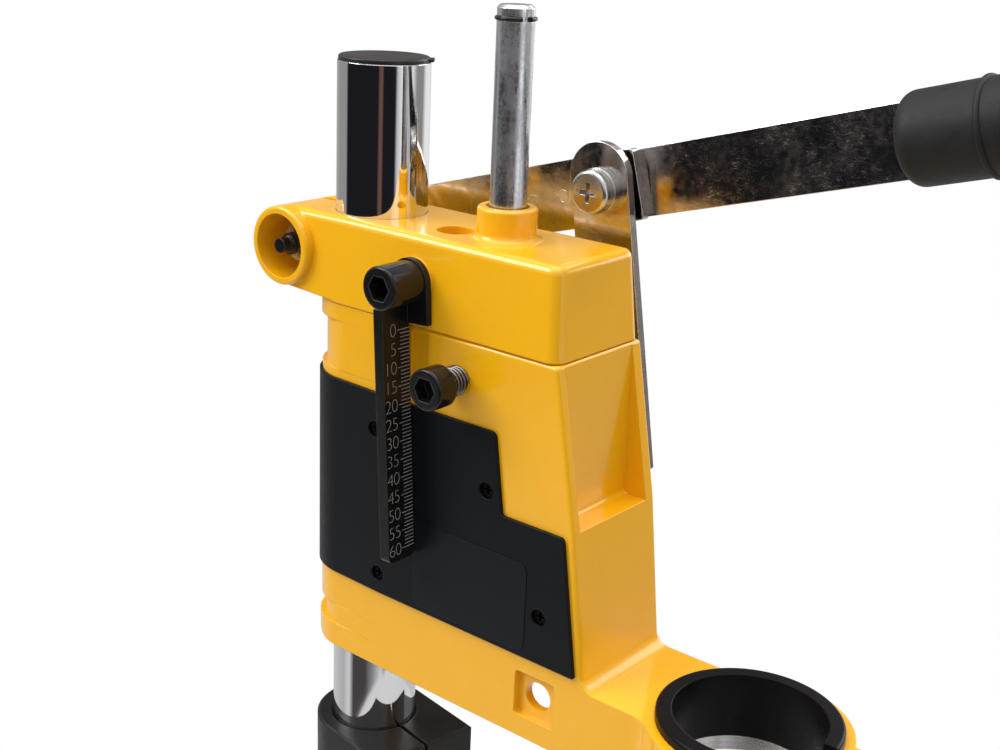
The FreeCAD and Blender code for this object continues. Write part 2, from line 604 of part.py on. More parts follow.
def collar_arm():
    bottom = -CARRIAGE_DEPTH
    arm = box(ARM_ROOT_X - 6, COLLAR_X, -CARRIAGE_HALF, CARRIAGE_FAR, bottom, ARM_TOP_Z)
    arm = arm.fuse(rod_z(COLLAR_X, 0, COLLAR_R, bottom, ARM_TOP_Z)).removeSplitter()
    joints = [COLLAR_X - math.sqrt(COLLAR_R ** 2 - side ** 2) for side in (CARRIAGE_HALF, CARRIAGE_FAR)]
    necks = edges_where(arm, lambda e: e.BoundBox.ZLength > 5 and e.BoundBox.XLength < 1e-3
                        and any(abs(e.BoundBox.XMin - x) < 0.05 for x in joints))
    arm = arm.makeFillet(9.0, necks)
    ears = box(COLLAR_X, COLLAR_X + COLLAR_BORE_R + COLLAR_EAR_END, -COLLAR_EAR_HALF, COLLAR_EAR_HALF,
               bottom, ARM_TOP_Z)
    ears = ears.makeFillet(3.0, edges_where(ears, lambda e: e.BoundBox.ZLength > 5
                                            and e.BoundBox.XMin > COLLAR_X + 1))
    return arm.fuse(ears)


def carriage_casting():
    bottom, half, far = -CARRIAGE_DEPTH, CARRIAGE_HALF, CARRIAGE_FAR
    body = carriage_body().fuse(collar_arm()).removeSplitter()
    root = edges_where(body, lambda e: at_height(ARM_TOP_Z)(e) and e.BoundBox.YLength > half
                       and abs(e.BoundBox.XMax - carriage_front_x(ARM_TOP_Z)) < 1.5
                       and e.BoundBox.XLength < 0.01)
    body = body.makeFillet(4.0, root)
    deep = WINDOW_FAR_WALL
    window = slab_xz([(21.5, WINDOW_TOP_Z, 2), (50.5, WINDOW_TOP_Z, 2), (50.5, -47.0, 2), (69.0, -47.0, 2),
                      (69.0, WINDOW_FLOOR_Z, 2), (21.5, WINDOW_FLOOR_Z, 2)], -half - 1, far - deep)
    pocket = slab_xz([(CARRIAGE_TOP_X, 1, 0), (110, 1, 0), (110, SHELF_Z, 0),
                      (SHELF_X - SHELF_DEPTH, SHELF_Z, 1.5)], -POCKET_NEAR, POCKET_FAR)
    recess = CROSS_RECESS / 2
    pin = LINK_PIN_AT
    rise = LINK_PIN_R + SLOT_RISE
    slot_back, slot_front = pin.x - SLOT_BACK - rise, pin.x + SLOT_FRONT + rise
    cuts = [
        rod_z(0, 0, COLUMN_R + RUN, bottom - 1, 1),
        window,
        pocket,
        box(*RECESS_X, -half - 1, -half + RECESS_DEPTH, *RECESS_Z),
        rod_z(ROD_X, 0, ROD_R + RUN, WINDOW_TOP_Z - 1, 1),
        rod_z(SPRING_X, SPRING_Y, SPRING_HOLE_R, WINDOW_TOP_Z - 1, 1),
        rod_y(LOCK_X, LOCK_Z, SCREW_M6_R + THREAD_GAP, -half - 1, 0),
        rod_y(SPRING_X, LOWER_PIN_Z, PIN_R + SEAT, far - deep - 1, far - 0.8),
        rod_y(CROSS_HOLE_X, CROSS_HOLE_Z, CROSS_HOLE_R, -half - 1, far + 1),
        slab_xz([(CROSS_HOLE_X - recess, CROSS_HOLE_Z - recess, 1), (CROSS_HOLE_X + recess, CROSS_HOLE_Z - recess, 1),
                 (CROSS_HOLE_X + recess, CROSS_HOLE_Z + recess, 1), (CROSS_HOLE_X - recess, CROSS_HOLE_Z + recess, 1)],
                -half - 1, -half + CROSS_RECESS_DEPTH),
        slab_xz([(x, z, rise - 0.01) for x, z in ((slot_back, pin.z - rise), (slot_front, pin.z - rise),
                                                  (slot_front, pin.z + rise), (slot_back, pin.z + rise))],
                far - SLOT_DEPTH, far + 1),
        box(*ARM_HOLLOW_X, -ARM_HOLLOW_HALF, ARM_HOLLOW_HALF, bottom - 1, ARM_TOP_Z - ARM_TOP_WALL),
        rod_z(COLLAR_X, 0, COLLAR_BORE_R, bottom - 1, ARM_TOP_Z + 1),
        box(COLLAR_X, COLLAR_X + 60, -COLLAR_SLIT / 2, COLLAR_SLIT / 2, bottom - 1, ARM_TOP_Z + 1),
        rod_y(COLLAR_SCREW_X, COLLAR_SCREW_Z, SCREW_M6_R + 0.3, -COLLAR_EAR_HALF - 1, COLLAR_EAR_HALF + 1),
    ]
    cuts += [rod_y(x, z, COVER_HOLE_R, -half - 1, -half + 7) for x, z in COVER_SCREWS]
    return body.cut(cuts).removeSplitter()


def side_cover():
    outer = keyhole(COVER_REAR_R, FLAT_START_X, COVER_OUT, COVER_OUT, COVER_FRONT_X + 20, COVER_BOTTOM_Z, COVER_TOP_Z)
    within = COVER_OUT - COVER_WALL
    inner = keyhole(COVER_REAR_R - COVER_WALL, FLAT_START_X, within, within, COVER_FRONT_X + 30,
                    COVER_BOTTOM_Z - 1, COVER_TOP_Z + 1)
    face = slab_xz([(-30, COVER_BOTTOM_Z, 0), (COVER_LOW_X, COVER_BOTTOM_Z, 0.4), (COVER_FRONT_X, COVER_STEP_Z, 1.5),
                    (COVER_STEP_X + 3.2, COVER_STEP_Z, 0.8), (COVER_STEP_X, COVER_TOP_Z, 1.8), (-30, COVER_TOP_Z, 0)],
                   -30, COVER_REACH_Y)
    cover = outer.cut(inner).common(face)
    cover = cover.cut([rod_y(x, z, COVER_HOLE_R, -30, -CARRIAGE_HALF + 2) for x, z in COVER_SCREWS])
    return cover.removeSplitter()


def cover_screws():
    """Four sunk screws; their heads sit below the face of the cover."""
    screws = []
    for x, z in COVER_SCREWS:
        face = -COVER_OUT + COVER_SCREW_SINK
        head = rod_y(x, z, COVER_HOLE_R - THREAD_GAP, face, face + COVER_SCREW_L)
        slots = [box(x - 1.3, x + 1.3, face - 1, face + 1, z - 0.35, z + 0.35),
                 box(x - 0.35, x + 0.35, face - 1, face + 1, z - 1.3, z + 1.3)]
        screws.append(head.cut(slots))
    return screws


def label_plate():
    (x0, x1), (z0, z1) = LABEL_X, LABEL_Z
    return slab_xz([(x0, z0, 2.5), (x1, z0, 2.5), (x1, z1, 2.5), (x0, z1, 2.5)],
                   -COVER_OUT - LABEL_THICK, -COVER_OUT)


def collar_insert():
    bottom = INSERT_BOTTOM_Z
    body = rod_z(COLLAR_X, 0, COLLAR_BORE_R - SEAT - 0.01, bottom, ARM_TOP_Z)
    lip = rod_z(COLLAR_X, 0, INSERT_LIP_R, ARM_TOP_Z, INSERT_TOP_Z)
    lip = lip.makeFillet(0.8, edges_where(lip, at_height(INSERT_TOP_Z)))
    ring = body.fuse(lip).cut(rod_z(COLLAR_X, 0, INSERT_BORE_R, bottom - 1, INSERT_TOP_Z + 1))
    gap = box(COLLAR_X, COLLAR_X + 40, -COLLAR_SLIT / 2, COLLAR_SLIT / 2, bottom - 1, INSERT_TOP_Z + 1)
    return ring.cut(gap).removeSplitter()


def collar_screw():
    return socket_screw(COLLAR_SCREW_X, COLLAR_SCREW_Z, 5.0, 6.0, SCREW_M6_R,
                        -COLLAR_EAR_HALF - 6.0, COLLAR_EAR_HALF + 6.5, 5.0)


def collar_nut():
    return hex_nut(COLLAR_SCREW_X, COLLAR_SCREW_Z, 10.0, SCREW_M6_R + SEAT, COLLAR_EAR_HALF, COLLAR_EAR_HALF + 5)


def lock_spring():
    """Envelope of the coil that keeps the lock screw from shaking loose."""
    y0, y1 = -CARRIAGE_HALF - LOCK_GAP + 0.05, -CARRIAGE_HALF - 0.05
    inner = SCREW_M6_R + 0.1
    return rod_y(LOCK_X, LOCK_Z, inner + 2 * LOCK_SPRING_WIRE_R, y0, y1).cut(
        rod_y(LOCK_X, LOCK_Z, inner, y0 - 1, y1 + 1))


def lock_screw():
    seat = -CARRIAGE_HALF - LOCK_GAP
    return socket_screw(LOCK_X, LOCK_Z, LOCK_HEAD_R, LOCK_HEAD_L, SCREW_M6_R, seat - LOCK_HEAD_L,
                        -ROD_R - 0.05, 6.0)


# ---- depth rod --------------------------------------------------------------
def depth_rod():
    shaft = rod_z(ROD_X, 0, ROD_R, ROD_BOTTOM, ROD_TOP)
    shaft = shaft.makeChamfer(0.8, edges_where(shaft, at_height(ROD_TOP)) + edges_where(shaft, at_height(ROD_BOTTOM)))
    groove = rod_z(ROD_X, 0, ROD_R + 1, RING_Z - RING_WIRE_R - 0.02, RING_Z + RING_WIRE_R + 0.02)
    groove = groove.cut(rod_z(ROD_X, 0, ROD_R - RING_WIRE_R, RING_Z - 2, RING_Z + 2))
    return shaft.cut(groove)


def rod_snap_ring():
    ring = Part.makeTorus(ROD_R + SEAT, RING_WIRE_R, V(ROD_X, 0, RING_Z), V(0, 0, 1))
    opening = slab_xy([(ROD_X, 0, 0), (ROD_X + 12, 3.2, 0), (ROD_X + 12, -3.2, 0)], RING_Z - 2, RING_Z + 2)
    opening.rotate(V(ROD_X, 0, 0), V(0, 0, 1), RING_GAP_AT)
    return ring.cut(opening)


# ---- lever and link ---------------------------------------------------------
def along_lever(distance):
    return V(EAR_X, 0, EAR_Z) + LEVER_DIR * distance


def turned(shape, pivot, degrees):
    """Turn a shape drawn along +X up by an angle about its pivot."""
    shape.rotate(pivot, V(0, 1, 0), -degrees)
    return shape


def lever_arm():
    """Inner lever plate, from the pivot to just past the link."""
    half = ARM_WIDTH / 2
    end = LEVER_PITCH + ARM_OVERHANG
    plate = slab_xz([(EAR_X - half, EAR_Z - half, half - 0.01), (EAR_X + end, EAR_Z - half, 1),
                     (EAR_X + end, EAR_Z + half, 1), (EAR_X - half, EAR_Z + half, half - 0.01)],
                    LEVER_Y, LEVER_Y + LEVER_THICK)
    plate = turned(plate, V(EAR_X, 0, EAR_Z), LEVER_ANGLE)
    holes = [rod_y(EAR_X, EAR_Z, BUSH_R + RUN, LEVER_Y - 1, BAR_Y + 1),
             rod_y(LINK_SCREW_AT.x, LINK_SCREW_AT.z, SCREW_M6_R + SEAT, LEVER_Y - 1, BAR_Y + 1)]
    holes += [rod_y(p.x, p.z, RIVET_R + SEAT, LEVER_Y - 1, BAR_Y + 1) for p in rivet_places()]
    return plate.cut(holes)


def rivet_places():
    return [along_lever(BAR_START + 6), along_lever(LEVER_PITCH - 15)]


def lever_bar():
    """Outer lever bar, riveted to the inner plate and carrying the grip."""
    half = LEVER_WIDTH / 2
    bar = slab_xz([(EAR_X + BAR_START, EAR_Z - half, 2), (EAR_X + LEVER_LENGTH - 4, EAR_Z - half, 2),
                   (EAR_X + LEVER_LENGTH - 4, EAR_Z + half, 2), (EAR_X + BAR_START, EAR_Z + half, 2)],
                  BAR_Y, BAR_Y + LEVER_THICK)
    bar = turned(bar, V(EAR_X, 0, EAR_Z), LEVER_ANGLE)
    holes = [rod_y(LINK_SCREW_AT.x, LINK_SCREW_AT.z, SCREW_M6_R + SEAT, BAR_Y - 1, BAR_Y + 9)]
    holes += [rod_y(p.x, p.z, RIVET_R + SEAT, BAR_Y - 1, BAR_Y + 9) for p in rivet_places()]
    return bar.cut(holes)


def lever_rivets():
    rivets = []
    outer = BAR_Y + LEVER_THICK
    for p in rivet_places():
        dome = Part.makeSphere(RIVET_R * 1.9, V(p.x, outer - 2.6, p.z))
        dome = dome.common(rod_y(p.x, p.z, 6, outer, outer + 4))
        rivets.append(rod_y(p.x, p.z, RIVET_R, LEVER_Y, outer).fuse(dome).removeSplitter())
    return rivets


def lever_grip():
    """Moulded grip pushed over the end of the bar."""
    y = BAR_Y + LEVER_THICK / 2
    start = V(EAR_X + GRIP_START, y, EAR_Z)
    length = LEVER_LENGTH - GRIP_START
    body = Part.makeCylinder(GRIP_R, length, start, V(1, 0, 0))
    ends = edges_where(body, lambda e: e.BoundBox.XLength < 1e-3)
    body = body.makeFillet(3.5, ends)
    half = LEVER_WIDTH / 2 + SEAT
    socket = box(start.x - 1, EAR_X + LEVER_LENGTH - 4 + SEAT, BAR_Y - SEAT, BAR_Y + LEVER_THICK + SEAT,
                 EAR_Z - half, EAR_Z + half)
    return turned(body.cut(socket), V(EAR_X, 0, EAR_Z), LEVER_ANGLE)


def link_screw():
    """Cross-recessed pan-head screw on which the link turns."""
    at = LINK_SCREW_AT
    seat = LINK_Y - 2 * LINK_WASHER_T
    head = rod_y(at.x, at.z, LINK_HEAD_R, seat - LINK_HEAD_L, seat)
    head = head.makeFillet(1.0, edges_where(head, at_depth(seat - LINK_HEAD_L)))
    shank = rod_y(at.x, at.z, SCREW_M6_R, seat, BAR_Y + LEVER_THICK + 6.5)
    face = seat - LINK_HEAD_L
    slots = [box(at.x - 2.6, at.x + 2.6, face - 1, face + 1.8, at.z - 0.6, at.z + 0.6),
             box(at.x - 0.6, at.x + 0.6, face - 1, face + 1.8, at.z - 2.6, at.z + 2.6)]
    return head.fuse(shank).cut(slots).removeSplitter()


def link_washers():
    """Two washers under the screw's head and one between link and lever."""
    at = LINK_SCREW_AT
    behind = LINK_Y + LEVER_THICK
    washers = []
    for radius, y0, y1 in ((LINK_HEAD_R, LINK_Y - 2 * LINK_WASHER_T, LINK_Y - LINK_WASHER_T),
                           (LINK_HEAD_R + 0.3, LINK_Y - LINK_WASHER_T, LINK_Y),
                           (LINK_HEAD_R + 0.3, behind, behind + LINK_GAP)):
        hole = rod_y(at.x, at.z, SCREW_M6_R + SEAT, y0 - 1, y1 + 1)
        washers.append(rod_y(at.x, at.z, radius, y0, y1).cut(hole))
    return washers


def link_nut():
    outer = BAR_Y + LEVER_THICK
    return hex_nut(LINK_SCREW_AT.x, LINK_SCREW_AT.z, 10.0, SCREW_M6_R + SEAT, outer, outer + 5.0)


def link_bar():
    half = LINK_WIDTH / 2
    top = LINK_SCREW_AT
    start, end = top.x - LINK_CROWN - half, top.x + LINK_LENGTH + LINK_END
    strip = slab_xz([(start, top.z - half, half - 0.01), (end, top.z - half, 0.8),
                     (end, top.z + half, 0.8), (start, top.z + half, half - 0.01)],
                    LINK_Y, LINK_Y + LEVER_THICK)
    strip = turned(strip, V(top.x, 0, top.z), LINK_LEAN - 90)
    pin = LINK_PIN_AT
    return strip.cut([rod_y(top.x, top.z, SCREW_M6_R + RUN, LINK_Y - 1, LINK_Y + LEVER_THICK + 1),
                      rod_y(pin.x, pin.z, LINK_PIN_R + SEAT, LINK_Y - 1, LINK_Y + LEVER_THICK + 1)])


def link_pin():
    """Shouldered pin riveted into the link; its nose runs in the slot of the carriage."""
    at = LINK_PIN_AT
    outer = LINK_Y + LEVER_THICK
    nose = rod_y(at.x, at.z, LINK_PIN_R, CARRIAGE_FAR - SLOT_DEPTH + 0.4, outer)
    shoulder = rod_y(at.x, at.z, PIN_SHOULDER_R, CARRIAGE_FAR + 0.3, LINK_Y)
    head = rod_y(at.x, at.z, PIN_SHOULDER_R, outer, outer + 1.6)
    head = head.makeFillet(0.7, edges_where(head, at_depth(outer + 1.6)))
    return nose.fuse([shoulder, head]).removeSplitter()


# ---- stop collar ------------------------------------------------------------
def stop_turn(shape):
    shape.rotate(V(0, 0, 0), V(0, 0, 1), STOP_TURN)
    return shape


def stop_collar():
    low = STOP_TOP_Z - STOP_HEIGHT
    body = rod_z(0, 0, STOP_HALF, low, STOP_TOP_Z).fuse(box(0, STOP_REACH, -STOP_HALF, STOP_HALF, low, STOP_TOP_Z))
    body = body.removeSplitter()
    body = body.makeChamfer(0.6, edges_where(body, at_height(STOP_TOP_Z)))
    body = body.cut([
        rod_z(0, 0, COLUMN_R + RUN, low - 1, STOP_TOP_Z + 1),
        Part.makeCone(COLUMN_R + RUN, COLUMN_R + RUN + 0.8, 0.8, V(0, 0, STOP_TOP_Z - 0.8), V(0, 0, 1)),
        box(COLUMN_R - 3, STOP_REACH + 1, -STOP_SLIT / 2, STOP_SLIT / 2, low - 1, STOP_TOP_Z + 1),
        rod_y(STOP_SCREW_X, STOP_SCREW_Z, SCREW_M6_R + 0.3, -STOP_HALF - 1, STOP_HALF + 1),
        rod_y(STOP_SCREW_X, STOP_SCREW_Z, 5.4, -STOP_HALF - 1, -STOP_HALF + 6.5),
        hexagon(STOP_SCREW_X, STOP_SCREW_Z, STOP_NUT_FLATS + 0.3, STOP_HALF - STOP_NUT_SINK, STOP_HALF + 1, 30),
    ])
    return stop_turn(body.removeSplitter())


def stop_collar_screw():
    return stop_turn(socket_screw(STOP_SCREW_X, STOP_SCREW_Z, 5.0, 6.0, SCREW_M6_R,
                                  -STOP_HALF + 0.5, STOP_HALF - 0.6, 5.0))


def stop_collar_nut():
    floor = STOP_HALF - STOP_NUT_SINK
    return stop_turn(hex_nut(STOP_SCREW_X, STOP_SCREW_Z, STOP_NUT_FLATS, SCREW_M6_R + SEAT, floor, floor + 5, 30))


def build():
    write("base_plate", base_plate())
    write("column_foot", column_foot())
    write("foot_bolts", foot_bolts())
    write("foot_grub_screw", foot_grub_screw())
    write("column_tube", column_tube())
    write("column_cap", column_cap())
    head = {
        "bracket_casting": bracket_casting(),
        "clamp_bolt": clamp_bolt(),
        "clamp_nut": clamp_nut(),
        "lever_bush": lever_bush(),
        "lever_washer": lever_washer(),
        "depth_scale": depth_scale(),
        "scale_screw": scale_screw(),
        "upper_spring_pin": spring_pin(UPPER_PIN_Z, SPRING_Y - SPRING_HOLE_R - 2.8, SPRING_Y + SPRING_HOLE_R + 2.8),
        "lower_spring_pin": spring_pin(LOWER_PIN_Z, SPRING_Y - 5, CARRIAGE_FAR - 1),
        "return_spring": return_spring(),
        "carriage_casting": carriage_casting(),
        "side_cover": side_cover(),
        "cover_screws": cover_screws(),
        "label_plate": label_plate(),
        "collar_insert": collar_insert(),
        "collar_screw": collar_screw(),
        "collar_nut": collar_nut(),
        "lock_spring": lock_spring(),
        "lock_screw": lock_screw(),
        "depth_rod": depth_rod(),
        "rod_snap_ring": rod_snap_ring(),
        "lever_arm": lever_arm(),
        "lever_bar": lever_bar(),
        "lever_rivets": lever_rivets(),
        "lever_grip": lever_grip(),
        "link_screw": link_screw(),
        "link_washers": link_washers(),
        "link_nut": link_nut(),
        "link_bar": link_bar(),
        "link_pin": link_pin(),
        "stop_collar": stop_collar(),
        "stop_collar_screw": stop_collar_screw(),
        "stop_collar_nut": stop_collar_nut(),
    }
    for name, shape in head.items():
        write(name, shape, SEAM_Z)


build()
for name, count, valid, volume in made:
    print("%-20s solids %d valid %s volume %.1f" % (name, count, valid, volume))
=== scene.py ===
"""Bench drill stand: finishes, springs, threads, ribs, scale marks, lamps and room round the frame."""
import bpy
import math
from mathutils import Euler, Matrix, Vector


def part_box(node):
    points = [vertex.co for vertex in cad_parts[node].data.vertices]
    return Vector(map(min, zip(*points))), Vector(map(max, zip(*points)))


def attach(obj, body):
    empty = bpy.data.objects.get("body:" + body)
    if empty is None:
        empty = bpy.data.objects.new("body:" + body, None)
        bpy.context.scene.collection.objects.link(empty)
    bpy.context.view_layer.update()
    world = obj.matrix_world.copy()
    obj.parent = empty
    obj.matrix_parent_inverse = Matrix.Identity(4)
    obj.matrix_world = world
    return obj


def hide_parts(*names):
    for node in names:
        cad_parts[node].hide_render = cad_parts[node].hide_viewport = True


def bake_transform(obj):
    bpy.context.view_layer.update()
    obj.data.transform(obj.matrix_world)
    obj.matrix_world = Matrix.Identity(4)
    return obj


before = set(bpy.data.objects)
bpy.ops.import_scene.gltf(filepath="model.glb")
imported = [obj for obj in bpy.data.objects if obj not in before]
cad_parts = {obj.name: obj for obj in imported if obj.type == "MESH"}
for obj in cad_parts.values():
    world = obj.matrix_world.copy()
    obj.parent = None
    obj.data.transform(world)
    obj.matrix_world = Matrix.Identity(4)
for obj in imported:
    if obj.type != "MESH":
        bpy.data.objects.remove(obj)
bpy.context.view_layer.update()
MM = 0.001
COLLAR_BORE = 21.6      # inside this distance from its axis the collar is bare metal, in mm
LEVER_TILT = math.radians(16.13)        # the lever's rise at rest
SCALE_TILT = math.radians(3.43)         # how far the depth scale leans out of the vertical


# ---- hand tools -------------------------------------------------------------
def only(*things):
    """Select just these objects and make the first one active."""
    bpy.ops.object.select_all(action="DESELECT")
    for thing in things:
        thing.select_set(True)
    bpy.context.view_layer.objects.active = things[0]


def settle(piece, name=None):
    """Leave a piece at the origin, unturned, with its place in its mesh."""
    only(piece)
    bpy.ops.object.transform_apply(location=True, rotation=True, scale=True)
    if name:
        piece.name = piece.data.name = name
    return piece


def finish_with(piece, kind, **settings):
    """Put a modifier on a piece and apply it."""
    only(piece)
    modifier = piece.modifiers.new(kind.title(), kind)
    for key, value in settings.items():
        setattr(modifier, key, value)
    bpy.ops.object.modifier_apply(modifier=modifier.name)


def joined(name, pieces):
    """Make several pieces one."""
    only(*pieces)
    bpy.ops.object.join()
    return settle(bpy.context.object, name)


def outline(points):
    """A line of edges through points, pulled out of one vertex."""
    bpy.ops.object.select_all(action="DESELECT")
    bpy.ops.mesh.primitive_plane_add(size=MM, location=(0, 0, 0))
    bpy.ops.object.mode_set(mode="EDIT")
    bpy.ops.mesh.select_all(action="SELECT")
    bpy.ops.mesh.merge(type="CENTER")
    bpy.ops.transform.translate(value=points[0])
    for before, after in zip(points, points[1:]):
        step = tuple(b - a for a, b in zip(before, after))
        bpy.ops.mesh.extrude_region_move(TRANSFORM_OT_translate={"value": step})
    bpy.ops.object.mode_set(mode="OBJECT")
    return bpy.context.object


def smooth(piece, degrees=32):
    """Shade a piece smooth, except across edges sharper than this."""
    only(piece)
    bpy.ops.object.shade_smooth_by_angle(angle=math.radians(degrees))
    return piece


def close_ends(piece):
    """Merge the doubles of a swept piece, close its two ends and turn its faces outwards."""
    only(piece)
    bpy.ops.object.mode_set(mode="EDIT")
    bpy.ops.mesh.select_all(action="SELECT")
    bpy.ops.mesh.remove_doubles(threshold=1e-7)
    bpy.ops.mesh.fill_holes(sides=0)
    bpy.ops.mesh.normals_make_consistent(inside=False)
    bpy.ops.object.mode_set(mode="OBJECT")
    return piece


def thread(radius, pitch, length, depth):
    """A screw thread along Z from 0 up to length; sizes in mm."""
    turns = max(1, int(round(length / pitch)) - 1)
    root = radius - depth
    crest_start, crest_end = pitch * 0.42, pitch * 0.56
    piece = outline([(root * MM, 0, 0), (radius * MM, 0, crest_start * MM),
                     (radius * MM, 0, crest_end * MM), (root * MM, 0, pitch * MM)])
    finish_with(piece, "SCREW", axis="Z", screw_offset=pitch * MM, iterations=turns, steps=32,
                render_steps=32, use_merge_vertices=True, merge_threshold=1e-7)
    return close_ends(piece)


def coil(radius, wire, turns, length, steps=36):
    """A wire coil along Z; length is from wire centre to wire centre, sizes in mm."""
    bpy.ops.object.select_all(action="DESELECT")
    bpy.ops.mesh.primitive_circle_add(vertices=12, radius=wire * MM, location=(radius * MM, 0, 0),
                                      rotation=(math.pi / 2, 0, 0))
    piece = settle(bpy.context.object)
    finish_with(piece, "SCREW", axis="Z", screw_offset=length / turns * MM, iterations=turns, steps=steps,
                render_steps=steps)
    return close_ends(piece)


def place(piece, at, turn=(0, 0, 0)):
    """Turn a piece about the origin and carry it to a point, in metres."""
    piece.data.transform(Matrix.Translation(Vector(at)) @ Euler(turn).to_matrix().to_4x4())


def middle(node):
    """The middle of a node's box."""
    low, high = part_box(node)
    return (Vector(low) + Vector(high)) / 2


collar_axis = middle("collar_insert")


# ---- shared effects ---------------------------------------------------------
def effect(name, inputs, outputs):
    """An empty node group with named sockets."""
    group = bpy.data.node_groups.new(name, "ShaderNodeTree")
    for socket, kind, default in inputs:
        made = group.interface.new_socket(socket, in_out="INPUT", socket_type="NodeSocket" + kind)
        if default is not None:
            made.default_value = default
    for socket, kind in outputs:
        group.interface.new_socket(socket, in_out="OUTPUT", socket_type="NodeSocket" + kind)
    return group, group.nodes.new("NodeGroupInput"), group.nodes.new("NodeGroupOutput")


def add(tree, kind, **settings):
    """A shader node of a kind, with its settings."""
    node = tree.nodes.new("ShaderNode" + kind)
    for key, value in settings.items():
        setattr(node, key, value)
    return node


def math_node(tree, operation, first, second=None):
    """A sum on sockets or plain numbers; gives the answer's socket."""
    node = add(tree, "Math", operation=operation)
    for index, value in enumerate((first, second)):
        if value is None:
            continue
        if hasattr(value, "links"):
            tree.links.new(value, node.inputs[index])
        else:
            node.inputs[index].default_value = value
    return node.outputs[0]


def mix_colors(tree, factor, first, second, blend="MIX"):
    """Two colours mixed by a factor; each may be a socket or a plain value."""
    node = add(tree, "Mix", data_type="RGBA", blend_type=blend)
    for socket, value in ((node.inputs[0], factor), (node.inputs[6], first), (node.inputs[7], second)):
        if hasattr(value, "links"):
            tree.links.new(value, socket)
        else:
            socket.default_value = value
    return node.outputs[2]


def build_uneven():
    """Soft mottling: two sizes of noise give a colour, a roughness and a height."""
    group, start, end = effect("uneven", [
        ("Light", "Color", (0.8, 0.8, 0.8, 1)), ("Dark", "Color", (0.6, 0.6, 0.6, 1)),
        ("Scale", "Float", 60.0), ("Stretch", "Vector", (1, 1, 1)), ("Contrast", "Float", 0.5),
        ("Smoothest", "Float", 0.2), ("Roughest", "Float", 0.3)],
        [("Color", "Color"), ("Roughness", "Float"), ("Height", "Float")])
    where = add(group, "TexCoord")
    stretch = add(group, "Mapping")
    group.links.new(where.outputs["Object"], stretch.inputs["Vector"])
    group.links.new(start.outputs["Stretch"], stretch.inputs["Scale"])
    broad = add(group, "TexNoise")
    broad.inputs["Detail"].default_value = 5
    group.links.new(stretch.outputs[0], broad.inputs["Vector"])
    group.links.new(start.outputs["Scale"], broad.inputs["Scale"])
    fine = add(group, "TexNoise")
    fine.inputs["Detail"].default_value = 3
    group.links.new(stretch.outputs[0], fine.inputs["Vector"])
    group.links.new(math_node(group, "MULTIPLY", start.outputs["Scale"], 7.0), fine.inputs["Scale"])
    fine_part = math_node(group, "MULTIPLY", fine.outputs[0], 0.4)
    broad_part = math_node(group, "MULTIPLY", broad.outputs[0], 0.6)
    total = math_node(group, "ADD", fine_part, broad_part)
    centred = math_node(group, "SUBTRACT", total, 0.5)
    gain = math_node(group, "MULTIPLY", start.outputs["Contrast"], 6.0)
    gained = math_node(group, "MULTIPLY", centred, gain)
    mask = math_node(group, "ADD", gained, 0.5)
    mask.node.use_clamp = True
    color = mix_colors(group, mask, start.outputs["Light"], start.outputs["Dark"])
    group.links.new(color, end.inputs["Color"])
    spread = math_node(group, "SUBTRACT", start.outputs["Roughest"], start.outputs["Smoothest"])
    roughened = math_node(group, "MULTIPLY", spread, mask)
    rough = math_node(group, "ADD", roughened, start.outputs["Smoothest"])
    group.links.new(rough, end.inputs["Roughness"])
    group.links.new(total, end.inputs["Height"])
    return group


def build_worn_edge():
    """A mask that rises to 1 along the sharp edges of a piece, broken up by noise."""
    group, start, end = effect("worn_edge", [("Width", "Float", 0.0006), ("Break Up", "Float", 400.0),
                                             ("Amount", "Float", 0.5)], [("Mask", "Float")])
    flat = add(group, "NewGeometry")
    rounded = add(group, "Bevel", samples=6)
    group.links.new(start.outputs["Width"], rounded.inputs["Radius"])
    turned_by = add(group, "VectorMath", operation="DOT_PRODUCT")
    group.links.new(flat.outputs["Normal"], turned_by.inputs[0])
    group.links.new(rounded.outputs[0], turned_by.inputs[1])
    edge = math_node(group, "SUBTRACT", 1.0, turned_by.outputs["Value"])
    edge = math_node(group, "MULTIPLY", edge, 9.0)
    where = add(group, "TexCoord")
    noise = add(group, "TexNoise")
    noise.inputs["Detail"].default_value = 4
    group.links.new(where.outputs["Object"], noise.inputs["Vector"])
    group.links.new(start.outputs["Break Up"], noise.inputs["Scale"])
    broken = math_node(group, "MULTIPLY", edge, noise.outputs[0])
    result = math_node(group, "MULTIPLY", broken, start.outputs["Amount"])
    result.node.use_clamp = True
    group.links.new(result, end.inputs["Mask"])
    return group


